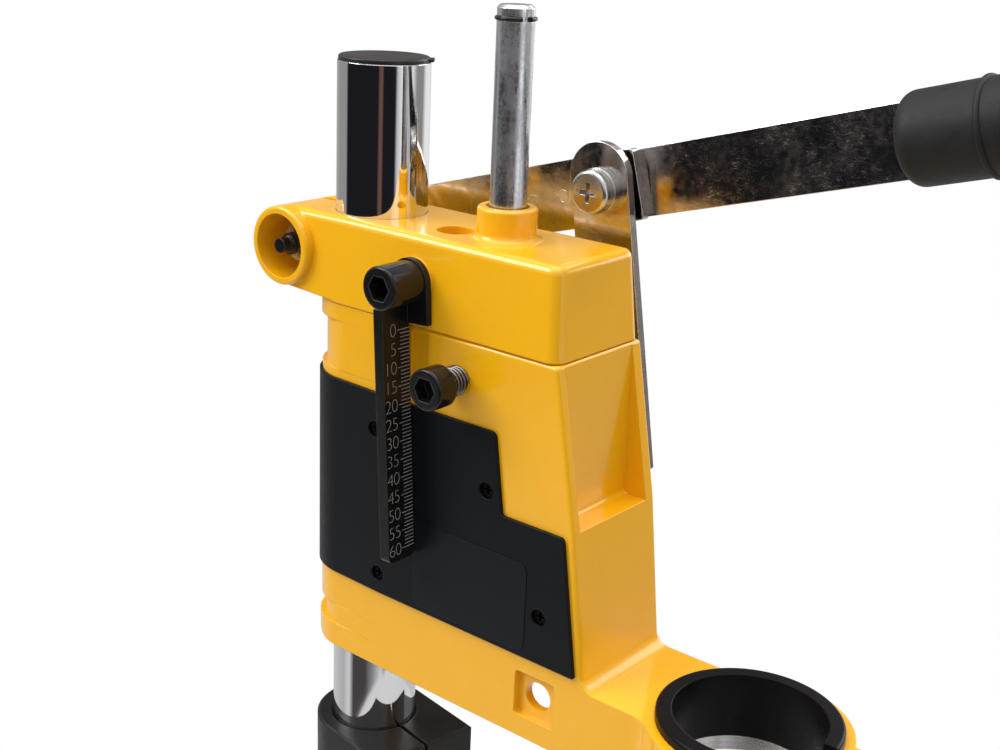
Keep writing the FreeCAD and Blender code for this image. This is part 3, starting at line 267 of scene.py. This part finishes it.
def build_scratches():
    """Thin wandering scratches, in patches; the mask is Amount in a scratch."""
    group, start, end = effect("scratches", [("Scale", "Float", 300.0), ("Stretch", "Vector", (1, 12, 1)),
                                             ("Amount", "Float", 0.5)], [("Mask", "Float")])
    where = add(group, "TexCoord")
    stretch = add(group, "Mapping")
    group.links.new(where.outputs["Object"], stretch.inputs["Vector"])
    group.links.new(start.outputs["Stretch"], stretch.inputs["Scale"])
    lines = add(group, "TexNoise")
    lines.inputs["Detail"].default_value = 2
    group.links.new(stretch.outputs[0], lines.inputs["Vector"])
    group.links.new(start.outputs["Scale"], lines.inputs["Scale"])
    near = math_node(group, "ABSOLUTE", math_node(group, "SUBTRACT", lines.outputs[0], 0.5))
    thin = math_node(group, "SUBTRACT", 1.0, math_node(group, "MULTIPLY", near, 55.0))
    thin.node.use_clamp = True
    patches = add(group, "TexNoise")
    patches.inputs["Scale"].default_value = 90
    group.links.new(where.outputs["Object"], patches.inputs["Vector"])
    gated = math_node(group, "MULTIPLY", thin, math_node(group, "GREATER_THAN", patches.outputs[0], 0.5))
    group.links.new(math_node(group, "MULTIPLY", gated, start.outputs["Amount"]), end.inputs["Mask"])
    return group


UNEVEN, WORN_EDGE, SCRATCHES = build_uneven(), build_worn_edge(), build_scratches()


def use(tree, group, **values):
    """Place a shared effect in a material, with its own values."""
    node = add(tree, "Group", node_tree=group)
    for key, value in values.items():
        node.inputs[key.replace("_", " ")].default_value = value
    return node


def new_finish(name, metallic=0.0, **sockets):
    """A new material, its node tree and its Principled shader."""
    material = bpy.data.materials.new(name)
    material.use_nodes = True
    tree = material.node_tree
    shader = tree.nodes["Principled BSDF"]
    shader.inputs["Metallic"].default_value = metallic
    for key, value in sockets.items():
        shader.inputs[key.replace("_", " ")].default_value = value
    return material, tree, shader


def soft_edges(tree, shader, radius, height, strength, distance):
    """Round the look of the edges, with a fine relief over it."""
    rounded = add(tree, "Bevel", samples=8)
    rounded.inputs["Radius"].default_value = radius
    bump = add(tree, "Bump")
    bump.inputs["Strength"].default_value = strength
    bump.inputs["Distance"].default_value = distance
    tree.links.new(height, bump.inputs["Height"])
    tree.links.new(rounded.outputs[0], bump.inputs["Normal"])
    tree.links.new(bump.outputs[0], shader.inputs["Normal"])


def painted(name, light, dark, smoothest, roughest, radius=0.0005):
    """Glossy stoved paint over a casting, with faint orange peel."""
    material, tree, shader = new_finish(name, Specular_IOR_Level=0.4, Coat_Weight=0.5, Coat_Roughness=0.04)
    body = use(tree, UNEVEN, Light=light, Dark=dark, Scale=55.0, Contrast=0.35, Smoothest=smoothest,
               Roughest=roughest)
    tree.links.new(body.outputs["Color"], shader.inputs["Base Color"])
    tree.links.new(body.outputs["Roughness"], shader.inputs["Roughness"])
    peel = use(tree, UNEVEN, Scale=240.0, Contrast=0.3)
    soft_edges(tree, shader, radius, peel.outputs["Height"], 0.12, 0.0002)
    return material


def machined_inside(paint):
    """A copy of the paint with bare turned metal inside the drill collar's bore."""
    material = paint.copy()
    material.name = "yellow_paint_bored_collar"
    tree = material.node_tree
    shader = tree.nodes["Principled BSDF"]
    where = add(tree, "TexCoord")
    split = add(tree, "SeparateXYZ")
    tree.links.new(where.outputs["Object"], split.inputs[0])
    along = math_node(tree, "SUBTRACT", split.outputs["X"], collar_axis.x)
    squares = math_node(tree, "ADD", math_node(tree, "POWER", along, 2.0),
                        math_node(tree, "POWER", split.outputs["Y"], 2.0))
    away = math_node(tree, "SQRT", squares)
    bare = math_node(tree, "LESS_THAN", away, COLLAR_BORE * MM)
    turned = use(tree, UNEVEN, Light=(0.62, 0.61, 0.60, 1), Dark=(0.40, 0.39, 0.38, 1), Scale=120.0,
                 Stretch=(1, 1, 14), Contrast=0.5)
    coat = shader.inputs["Base Color"].links[0].from_socket
    tree.links.new(mix_colors(tree, bare, coat, turned.outputs["Color"]), shader.inputs["Base Color"])
    tree.links.new(bare, shader.inputs["Metallic"])
    return material


def plated(name, light, dark, smoothest, roughest, scale, stretch=(1, 1, 1), contrast=0.5, relief=0.08,
           radius=0.00025):
    """Bare or plated metal with mottled shine."""
    material, tree, shader = new_finish(name, metallic=1.0)
    body = use(tree, UNEVEN, Light=light, Dark=dark, Scale=scale, Stretch=stretch, Contrast=contrast,
               Smoothest=smoothest, Roughest=roughest)
    tree.links.new(body.outputs["Color"], shader.inputs["Base Color"])
    tree.links.new(body.outputs["Roughness"], shader.inputs["Roughness"])
    soft_edges(tree, shader, radius, body.outputs["Height"], relief, 0.0001)
    return material


def moulded(name, light, dark, smoothest, roughest, grain=900.0, relief=0.15, radius=0.0004, worn=0.0,
            specular=0.5):
    """Black plastic, rubber or oxide: a fine grain and slightly polished edges."""
    material, tree, shader = new_finish(name, Specular_IOR_Level=specular)
    body = use(tree, UNEVEN, Light=light, Dark=dark, Scale=grain / 6, Contrast=0.5, Smoothest=smoothest,
               Roughest=roughest)
    color = body.outputs["Color"]
    if worn:
        edge = use(tree, WORN_EDGE, Amount=worn, Width=radius * 1.5)
        color = mix_colors(tree, edge.outputs[0], color, (0.10, 0.095, 0.09, 1))
    tree.links.new(color, shader.inputs["Base Color"])
    tree.links.new(body.outputs["Roughness"], shader.inputs["Roughness"])
    grains = use(tree, UNEVEN, Scale=grain, Contrast=0.5)
    soft_edges(tree, shader, radius, grains.outputs["Height"], relief, 0.0001)
    return material


def scuffed_mirror(name):
    """Polished plated strip, handled and scuffed: dull brown-grey patches, pits and scratches."""
    material, tree, shader = new_finish(name, metallic=1.0)
    body = use(tree, UNEVEN, Light=(0.64, 0.61, 0.59, 1), Dark=(0.44, 0.41, 0.39, 1), Scale=70.0,
               Contrast=0.6, Smoothest=0.05, Roughest=0.26)
    specks = use(tree, UNEVEN, Light=(1, 1, 1, 1), Dark=(0.78, 0.76, 0.74, 1), Scale=300.0, Contrast=0.7)
    marks = use(tree, SCRATCHES, Scale=260.0, Stretch=(1, 1, 3), Amount=0.3)
    worn = use(tree, WORN_EDGE, Amount=0.6, Width=0.0005)
    color = mix_colors(tree, 1.0, body.outputs["Color"], specks.outputs["Color"], "MULTIPLY")
    color = mix_colors(tree, marks.outputs[0], color, (0.85, 0.83, 0.8, 1))
    color = mix_colors(tree, worn.outputs[0], color, (0.9, 0.88, 0.86, 1))
    tree.links.new(color, shader.inputs["Base Color"])
    scored = math_node(tree, "MULTIPLY", marks.outputs[0], 0.35)
    rough = math_node(tree, "ADD", body.outputs["Roughness"], scored)
    tree.links.new(rough, shader.inputs["Roughness"])
    soft_edges(tree, shader, 0.0003, specks.outputs["Height"], 0.05, 0.0001)
    return material


YELLOW = painted("yellow_gloss_paint", (0.90, 0.452, 0.006, 1), (0.87, 0.425, 0.004, 1), 0.16, 0.26)
BASE_YELLOW = painted("base_gloss_paint", (0.90, 0.452, 0.006, 1), (0.85, 0.415, 0.004, 1), 0.2, 0.34,
                      radius=0.001)
CARRIAGE_YELLOW = machined_inside(YELLOW)
CHROME = plated("column_chrome", (0.80, 0.80, 0.81, 1), (0.74, 0.74, 0.76, 1), 0.03, 0.07, 40.0,
                stretch=(1, 1, 0.2), contrast=0.4, relief=0.02)
ZINC = plated("mottled_zinc", (0.80, 0.81, 0.84, 1), (0.48, 0.49, 0.52, 1), 0.18, 0.42, 320.0,
              stretch=(1, 1, 0.45), contrast=0.6, relief=0.25)
SCREW_ZINC = plated("bright_zinc", (0.66, 0.66, 0.64, 1), (0.48, 0.48, 0.46, 1), 0.16, 0.32, 240.0,
                    relief=0.1)
SPRING_STEEL = plated("spring_steel", (0.58, 0.58, 0.58, 1), (0.36, 0.36, 0.36, 1), 0.15, 0.3, 300.0)
DARK_SPRING = plated("dark_spring", (0.22, 0.22, 0.22, 1), (0.12, 0.12, 0.12, 1), 0.2, 0.35, 300.0)
MIRROR = scuffed_mirror("scuffed_mirror_steel")
OXIDE = moulded("black_oxide", (0.006, 0.0058, 0.006, 1), (0.012, 0.0105, 0.010, 1), 0.10, 0.2,
                grain=1100.0, relief=0.1, worn=0.3, specular=0.3)
# Cover screws: black oxide made darker and duller than OXIDE, as painted shade of the deep holes they sit
# in.
SHADED_SUNK_OXIDE = moulded("sunk_oxide_painted_shade", (0.002, 0.002, 0.002, 1), (0.003, 0.003, 0.003, 1), 0.4, 0.6,
                     specular=0.1)
COVER = moulded("cover_plastic", (0.0050, 0.0058, 0.0072, 1), (0.0066, 0.0074, 0.0090, 1), 0.38, 0.48,
                grain=1500.0, relief=0.06, radius=0.0006, specular=0.16)
CAP = moulded("cap_plastic", (0.008, 0.008, 0.009, 1), (0.012, 0.012, 0.012, 1), 0.3, 0.45,
              grain=1200.0, specular=0.4)
SCALE_BLACK = moulded("scale_black", (0.006, 0.006, 0.0065, 1), (0.011, 0.0105, 0.010, 1), 0.16, 0.3,
                      grain=800.0, relief=0.05, radius=0.0003, worn=0.25, specular=0.25)
INSERT = moulded("insert_plastic", (0.004, 0.004, 0.0045, 1), (0.006, 0.006, 0.006, 1), 0.25, 0.36,
                 relief=0.08, radius=0.0005, specular=0.1)
STOP_BLACK = moulded("stop_black", (0.007, 0.007, 0.008, 1), (0.012, 0.012, 0.012, 1), 0.3, 0.46,
                     grain=700.0, relief=0.12, radius=0.0006, worn=0.15, specular=0.2)
GRIP = moulded("grip_rubber", (0.010, 0.010, 0.010, 1), (0.016, 0.016, 0.016, 1), 0.5, 0.7,
               grain=1300.0, relief=0.3, specular=0.3)
LABEL = moulded("label_film", (0.0062, 0.0072, 0.0090, 1), (0.0072, 0.0082, 0.010, 1), 0.32, 0.38,
                grain=1500.0, relief=0.02, radius=0.0002, specular=0.18)
MARK_PAINT = moulded("mark_paint", (0.34, 0.335, 0.33, 1), (0.22, 0.215, 0.21, 1), 0.5, 0.6,
                     relief=0.1, radius=0.0001, specular=0.2)

finish_of = {
    "base_plate": BASE_YELLOW, "column_foot": BASE_YELLOW, "foot_bolts": SCREW_ZINC,
    "foot_grub_screw": OXIDE, "column_tube": CHROME, "column_cap": CAP,
    "bracket_casting": YELLOW, "carriage_casting": CARRIAGE_YELLOW,
    "clamp_bolt": OXIDE, "clamp_nut": SCREW_ZINC, "lever_bush": SCREW_ZINC, "lever_washer": SCREW_ZINC,
    "depth_scale": SCALE_BLACK, "scale_screw": OXIDE, "upper_spring_pin": SCREW_ZINC,
    "lower_spring_pin": SCREW_ZINC, "return_spring": SPRING_STEEL,
    # the cover screws take the darker oxide: painted shade of their holes
    "side_cover": COVER, "cover_screws": SHADED_SUNK_OXIDE, "label_plate": LABEL,
    "collar_insert": INSERT, "collar_screw": OXIDE, "collar_nut": SCREW_ZINC,
    "lock_spring": SPRING_STEEL, "lock_screw": OXIDE, "depth_rod": ZINC, "rod_snap_ring": OXIDE,
    "lever_arm": MIRROR, "lever_bar": MIRROR, "lever_rivets": SCREW_ZINC, "lever_grip": GRIP,
    "link_screw": SCREW_ZINC, "link_washers": SCREW_ZINC, "link_nut": SCREW_ZINC,
    "link_bar": MIRROR, "link_pin": SCREW_ZINC,
    "stop_collar": STOP_BLACK, "stop_collar_screw": OXIDE, "stop_collar_nut": SCREW_ZINC,
}
for node, material in finish_of.items():
    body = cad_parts[node]
    for spot in body.material_slots:
        spot.material = material
    smooth(body, 28)


def dress(piece, material, body):
    """Give a finished piece its material and its body."""
    piece.data.materials.clear()
    piece.data.materials.append(material)
    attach(piece, body)


# ---- springs ----------------------------------------------------------------
LOCK_WIRE, LOCK_TURNS = 0.45, 5
LOCK_SIDE_GAP, LOCK_END_GAP = 0.01, 0.025       # between the coil and the room that it has
PULL_COIL_RADIUS, PULL_WIRE, PULL_TURNS = 3.65, 0.6, 46
PULL_HOOK = 3.0                                 # each end of the return spring that isn't coil

low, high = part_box("lock_spring")
spring_middle = middle("lock_spring")
spring_length = (high[1] - low[1]) / MM
spring_radius = (high[0] - low[0]) / 2 / MM
lock_coil = smooth(coil(spring_radius - LOCK_WIRE - LOCK_SIDE_GAP, LOCK_WIRE, LOCK_TURNS,
                        spring_length - 2 * (LOCK_WIRE + LOCK_END_GAP)))
place(lock_coil, (spring_middle.x, low[1] + (LOCK_WIRE + LOCK_END_GAP) * MM, spring_middle.z),
      (-math.pi / 2, 0, 0))
lock_coil.name = "lock_spring_coil"
dress(lock_coil, DARK_SPRING, "carriage")
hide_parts("lock_spring")

low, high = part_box("return_spring")
pull_length = (high[2] - low[2]) / MM
pull_coil = smooth(coil(PULL_COIL_RADIUS, PULL_WIRE, PULL_TURNS, pull_length - 2 * PULL_HOOK, 16))
hook_line = middle("return_spring")
place(pull_coil, (hook_line.x, hook_line.y, low[2] + PULL_HOOK * MM))
pull_coil.name = "return_spring_coil"
pull_coil.data.materials.append(SPRING_STEEL)
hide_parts("return_spring")
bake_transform(pull_coil)

# ---- screw threads ----------------------------------------------------------
SHANK_RADIUS = 3.0          # of the four threaded screws
COARSE, FINE = 1.0, 0.6     # pitches
PROUD = 0.1                 # how far the thread stands out of the shank
SUNK = 0.3                  # how far it reaches in, as a share of its pitch
BOLT_POINT = 2.8            # bare end of the clamp bolt


def threaded_end(node, body, pitch, low, high):
    """Thread standing just proud of a screw's shank, between two places along Y, in mm."""
    ridge = smooth(thread(SHANK_RADIUS + PROUD, pitch, high - low, pitch * SUNK + PROUD), 20)
    centre = middle(node)
    place(ridge, (centre.x, low * MM, centre.z), (-math.pi / 2, 0, 0))
    ridge.name = ridge.data.name = node + "_thread"
    dress(ridge, finish_of[node], body)


lock_low, lock_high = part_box("lock_spring")
clamp_low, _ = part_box("clamp_bolt")
nut_low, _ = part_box("clamp_nut")
threaded_end("lock_screw", "carriage", COARSE, lock_low[1] / MM, lock_high[1] / MM)
threaded_end("clamp_bolt", "bracket", COARSE, clamp_low[1] / MM + BOLT_POINT, nut_low[1] / MM)
for screw, nut, body in (("collar_screw", "collar_nut", "carriage"), ("link_screw", "link_nut", "lever")):
    _, nut_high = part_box(nut)
    _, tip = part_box(screw)
    threaded_end(screw, body, FINE, nut_high[1] / MM, tip[1] / MM)


# ---- pull tab of the column's cap -------------------------------------------
TAB_SIZE = (2.6, 4.2, 0.9)              # outwards, across and thick
TAB_ROUND = 0.3
TAB_REACH, TAB_DROP = 12.0, 0.75        # its middle, from the column's axis and below the cap's top
TAB_HEADING = math.radians(39)

_, cap_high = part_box("column_cap")
bpy.ops.object.select_all(action="DESELECT")
bpy.ops.mesh.primitive_cube_add(size=1, location=(0, 0, 0), scale=[side * MM for side in TAB_SIZE])
tab = settle(bpy.context.object, "cap_tab")
finish_with(tab, "BEVEL", width=TAB_ROUND * MM, segments=3)
place(tab, (TAB_REACH * MM * math.cos(TAB_HEADING), TAB_REACH * MM * math.sin(TAB_HEADING),
            cap_high[2] - TAB_DROP * MM), (0, 0, TAB_HEADING))
dress(smooth(tab), CAP, "column")

# ---- ribs of the lever's grip -----------------------------------------------
RIB_COUNT, RIB_PITCH = 9, 6
RIB_RADIUS, RIB_ROUND = 10.9, 0.75

rings = []
for index in range(RIB_COUNT):
    along = RIB_PITCH * ((RIB_COUNT - 1) / 2 - index)
    bpy.ops.object.select_all(action="DESELECT")
    bpy.ops.mesh.primitive_torus_add(major_radius=RIB_RADIUS * MM, minor_radius=RIB_ROUND * MM,
                                     major_segments=72, minor_segments=16, location=(along * MM, 0, 0),
                                     rotation=(0, math.pi / 2, 0))
    rings.append(bpy.context.object)
grip_ribs = joined("grip_ribs", rings)
place(grip_ribs, middle("lever_grip"), (0, -LEVER_TILT, 0))
dress(smooth(grip_ribs), GRIP, "lever")

# ---- scale marks ------------------------------------------------------------
LAST_DIVISION, NUMBER_STEP = 60, 5          # one division a millimetre
SHORT_MARK, LONG_MARK, MARK_WIDTH = 3.3, 4.3, 0.24
MARK_DEPTH, MARK_LIFT = 0.04, 0.005         # a mark's middle lies this far out of the scale's face
MARK_EDGE, NUMBER_EDGE = -17.95, -22.5      # outer ends of marks and numbers, along Y
NUMBER_SIZE, NUMBER_THIN = 5.2, -0.14       # height of the numbers, and how much their lines are thinned
FACE_FROM_SCREW = -0.6                      # the scale's face, from the screw's axis
ZERO_BELOW_SCREW = 12.1

marks = []
bpy.ops.object.select_all(action="DESELECT")
for division in range(LAST_DIVISION + 1):
    reach = SHORT_MARK if division % NUMBER_STEP else LONG_MARK
    bpy.ops.mesh.primitive_cube_add(size=1, location=(0, (MARK_EDGE - reach / 2) * MM, -division * MM),
                                    scale=(MARK_DEPTH * MM, reach * MM, MARK_WIDTH * MM))
    marks.append(bpy.context.object)
for number in range(0, LAST_DIVISION + 1, NUMBER_STEP):
    bpy.ops.object.select_all(action="DESELECT")
    bpy.ops.object.text_add(location=(0, 0, 0))
    figure = bpy.context.object
    figure.data.body = str(number)
    figure.data.size = NUMBER_SIZE * MM
    figure.data.align_x = "RIGHT"
    figure.data.align_y = "CENTER"
    figure.data.extrude = MARK_DEPTH / 2 * MM
    figure.data.offset = NUMBER_THIN * MM
    figure.data.space_character = 0.9
    bpy.ops.object.convert(target="MESH")
    figure = bpy.context.object
    upright = Matrix.Rotation(math.pi / 2, 4, "Z") @ Matrix.Rotation(math.pi / 2, 4, "X")
    figure.data.transform(upright)
    figure.location = (0, NUMBER_EDGE * MM, -number * MM)
    marks.append(figure)
scale_marks = joined("scale_marks", marks)
screw_at = middle("scale_screw")
on_face = Matrix.Translation(((FACE_FROM_SCREW + MARK_LIFT) * MM, 0, -ZERO_BELOW_SCREW * MM))
lean = Matrix.Translation((screw_at.x, 0, screw_at.z)) @ Matrix.Rotation(-SCALE_TILT, 4, "Y")
scale_marks.data.transform(lean @ on_face)
dress(scale_marks, MARK_PAINT, "bracket")

# ---- camera and floor -------------------------------------------------------
LENS, SENSOR = 51.254, 36.0
CAMERA_X, CAMERA_Y, CAMERA_RISE = 267.983, -276.167, 104.499        # the rise is from the seam
CAMERA_HEADING, CAMERA_DIP, CAMERA_ROLL = 39.04, 18.35, 2.51        # in degrees
SEAM_GAP = 0.3                      # the carriage's top lies this far under the seam
FLOOR_RADIUS, FLOOR_X = 0.36, 0.05
FLOOR_DROP = 0.0005                 # the floor lies this far under the base
FLOOR_GLOW, GLOW_SHARE = 1.35, 0.62     # only what the camera sees of the floor

_, carriage_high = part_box("carriage_casting")
seam = carriage_high[2] + SEAM_GAP * MM
camera_data = bpy.data.cameras.new("view")
camera_data.sensor_width = SENSOR
camera_data.lens = LENS
camera_data.clip_start = 0.01
camera = bpy.data.objects.new("view", camera_data)
bpy.context.scene.collection.objects.link(camera)
camera.location = (CAMERA_X * MM, CAMERA_Y * MM, seam + CAMERA_RISE * MM)
aim = Matrix.Rotation(math.radians(CAMERA_HEADING), 4, "Z")
aim = aim @ Matrix.Rotation(math.radians(90 - CAMERA_DIP), 4, "X")
aim = aim @ Matrix.Rotation(math.radians(CAMERA_ROLL), 4, "Z")
camera.rotation_euler = aim.to_euler()
bpy.context.scene.camera = camera

bpy.ops.object.select_all(action="DESELECT")
bpy.ops.mesh.primitive_circle_add(vertices=128, radius=FLOOR_RADIUS, fill_type="NGON",
                                  location=(FLOOR_X, 0, -FLOOR_DROP))
floor = bpy.context.object
settle(floor, "floor")
floor_material, floor_tree, floor_shader = new_finish("floor_white", Roughness=0.9)
floor_shader.inputs["Base Color"].default_value = (0.5, 0.5, 0.5, 1)
floor.data.materials.append(floor_material)
glow = add(floor_tree, "Emission")
glow.inputs["Color"].default_value = (1, 1, 1, 1)
glow.inputs["Strength"].default_value = FLOOR_GLOW
ray = add(floor_tree, "LightPath")
glowing = math_node(floor_tree, "MULTIPLY", ray.outputs["Is Camera Ray"], GLOW_SHARE)
blend = add(floor_tree, "MixShader")
output = floor_tree.nodes["Material Output"]
floor_tree.links.new(glowing, blend.inputs[0])
floor_tree.links.new(floor_shader.outputs[0], blend.inputs[1])
floor_tree.links.new(glow.outputs[0], blend.inputs[2])
floor_tree.links.new(blend.outputs[0], output.inputs["Surface"])


# ---- lamps ------------------------------------------------------------------
def lamp(name, at, towards, size, power, size_y=None):
    """A soft square lamp, or an oblong one if size_y is given; sizes in metres."""
    data = bpy.data.lights.new(name, "AREA")
    data.energy = power
    data.size = size
    if size_y:
        data.shape = "RECTANGLE"
        data.size_y = size_y
    light = bpy.data.objects.new(name, data)
    bpy.context.scene.collection.objects.link(light)
    light.location = at
    light.rotation_euler = (Vector(towards) - Vector(at)).to_track_quat("-Z", "Y").to_euler()


HEAD = (0.05, 0, 0.35)
lamp("overhead", (0.1, -0.1, 1.7), HEAD, 1.5, 19)
lamp("left_window", (-1.0, -1.0, 1.45), (0.0, 0, 0.35), 0.9, 19)
lamp("right_window", (1.4, -0.2, 0.9), HEAD, 0.8, 1.5, 1.4)
lamp("far_fill", (0.5, 1.3, 0.9), HEAD, 1.0, 9)


# ---- the room round the stand, as its polished metal mirrors it -------------
def grey(level):
    return (level, level, level, 1)


# Each shade stands at its place round the room, from 0 to 1, starting and ending at -X.
GREY, BLACK, BROWN = (0.34, 0.33, 0.32, 1), (0.012, 0.012, 0.015, 1), (0.16, 0.085, 0.07, 1)
WHITE, DUSK = grey(0.95), (0.3, 0.29, 0.28, 1)
level_room = [
    (0.0, GREY), (0.085, GREY), (0.102, BLACK), (0.335, BLACK), (0.348, BROWN), (0.362, BROWN),
    (0.372, BLACK), (0.452, BLACK), (0.468, (0.6, 0.61, 0.62, 1)), (0.5, WHITE),
    (0.56, (0.45, 0.46, 0.48, 1)), (0.58, WHITE), (0.6, DUSK), (0.68, DUSK), (0.72, WHITE),
    (0.78, WHITE), (0.9, (0.5, 0.49, 0.48, 1)), (1.0, GREY)]

PALE, DIM, SLATE = (0.62, 0.62, 0.63, 1), (0.07, 0.06, 0.06, 1), (0.3, 0.3, 0.31, 1)
low_room = [
    (0.0, PALE), (0.1, grey(0.5)), (0.16, grey(0.75)), (0.2, DIM), (0.3, DIM), (0.36, SLATE),
    (0.42, grey(0.72)), (0.44, SLATE), (0.46, grey(0.75)), (0.6, PALE), (1.0, PALE)]

ROSE, SHADE = (0.34, 0.27, 0.23, 1), (0.10, 0.085, 0.08, 1)
high_room = [
    (0.0, grey(0.7)), (0.8, grey(0.7)), (0.825, ROSE), (0.842, ROSE), (0.852, SHADE), (0.872, SHADE),
    (0.886, ROSE), (0.93, ROSE), (0.95, (0.6, 0.58, 0.57, 1)), (1.0, grey(0.7))]

world = bpy.data.worlds.new("studio")
world.use_nodes = True
bpy.context.scene.world = world
sky = world.node_tree
sky.nodes.clear()
direction = add(sky, "TexCoord")
parts = add(sky, "SeparateXYZ")
sky.links.new(direction.outputs["Generated"], parts.inputs[0])


def scaled(value, factor, shift):
    """A socket's value times a factor, plus a shift."""
    answer = math_node(sky, "MULTIPLY_ADD", value, factor)
    answer.node.inputs[2].default_value = shift
    return answer


compass = math_node(sky, "ARCTAN2", parts.outputs["Y"], parts.outputs["X"])
round_room = scaled(compass, 1 / (2 * math.pi), 0.5)


def around(stops):
    """Shades of the room by heading."""
    node = add(sky, "ValToRGB")
    sky.links.new(round_room, node.inputs[0])
    ramp = node.color_ramp
    while len(ramp.elements) < len(stops):
        ramp.elements.new(0.5)
    for element, (spot, shade) in zip(ramp.elements, stops):
        element.position = spot
        element.color = shade
    return node.outputs[0]


downward = scaled(parts.outputs["Z"], -8.0, -2.2)
downward.node.use_clamp = True
upward = scaled(parts.outputs["Z"], 2.2, 0.2)
upward.node.use_clamp = True
mirror_sky = mix_colors(sky, downward, around(level_room), around(low_room))
mirror_sky = mix_colors(sky, upward, mirror_sky, around(high_room))
sideways = scaled(parts.outputs["X"], 0.5, 0.5)
soft_sky = mix_colors(sky, sideways, grey(0.74), grey(0.44))
path = add(sky, "LightPath")
seen = mix_colors(sky, path.outputs["Is Glossy Ray"], soft_sky, mirror_sky)
seen = mix_colors(sky, path.outputs["Is Camera Ray"], seen, grey(1))
background = add(sky, "Background")
sky.links.new(seen, background.inputs["Color"])
world_out = add(sky, "OutputWorld")
sky.links.new(background.outputs[0], world_out.inputs["Surface"])
bpy.context.scene.view_settings.view_transform = "Standard"
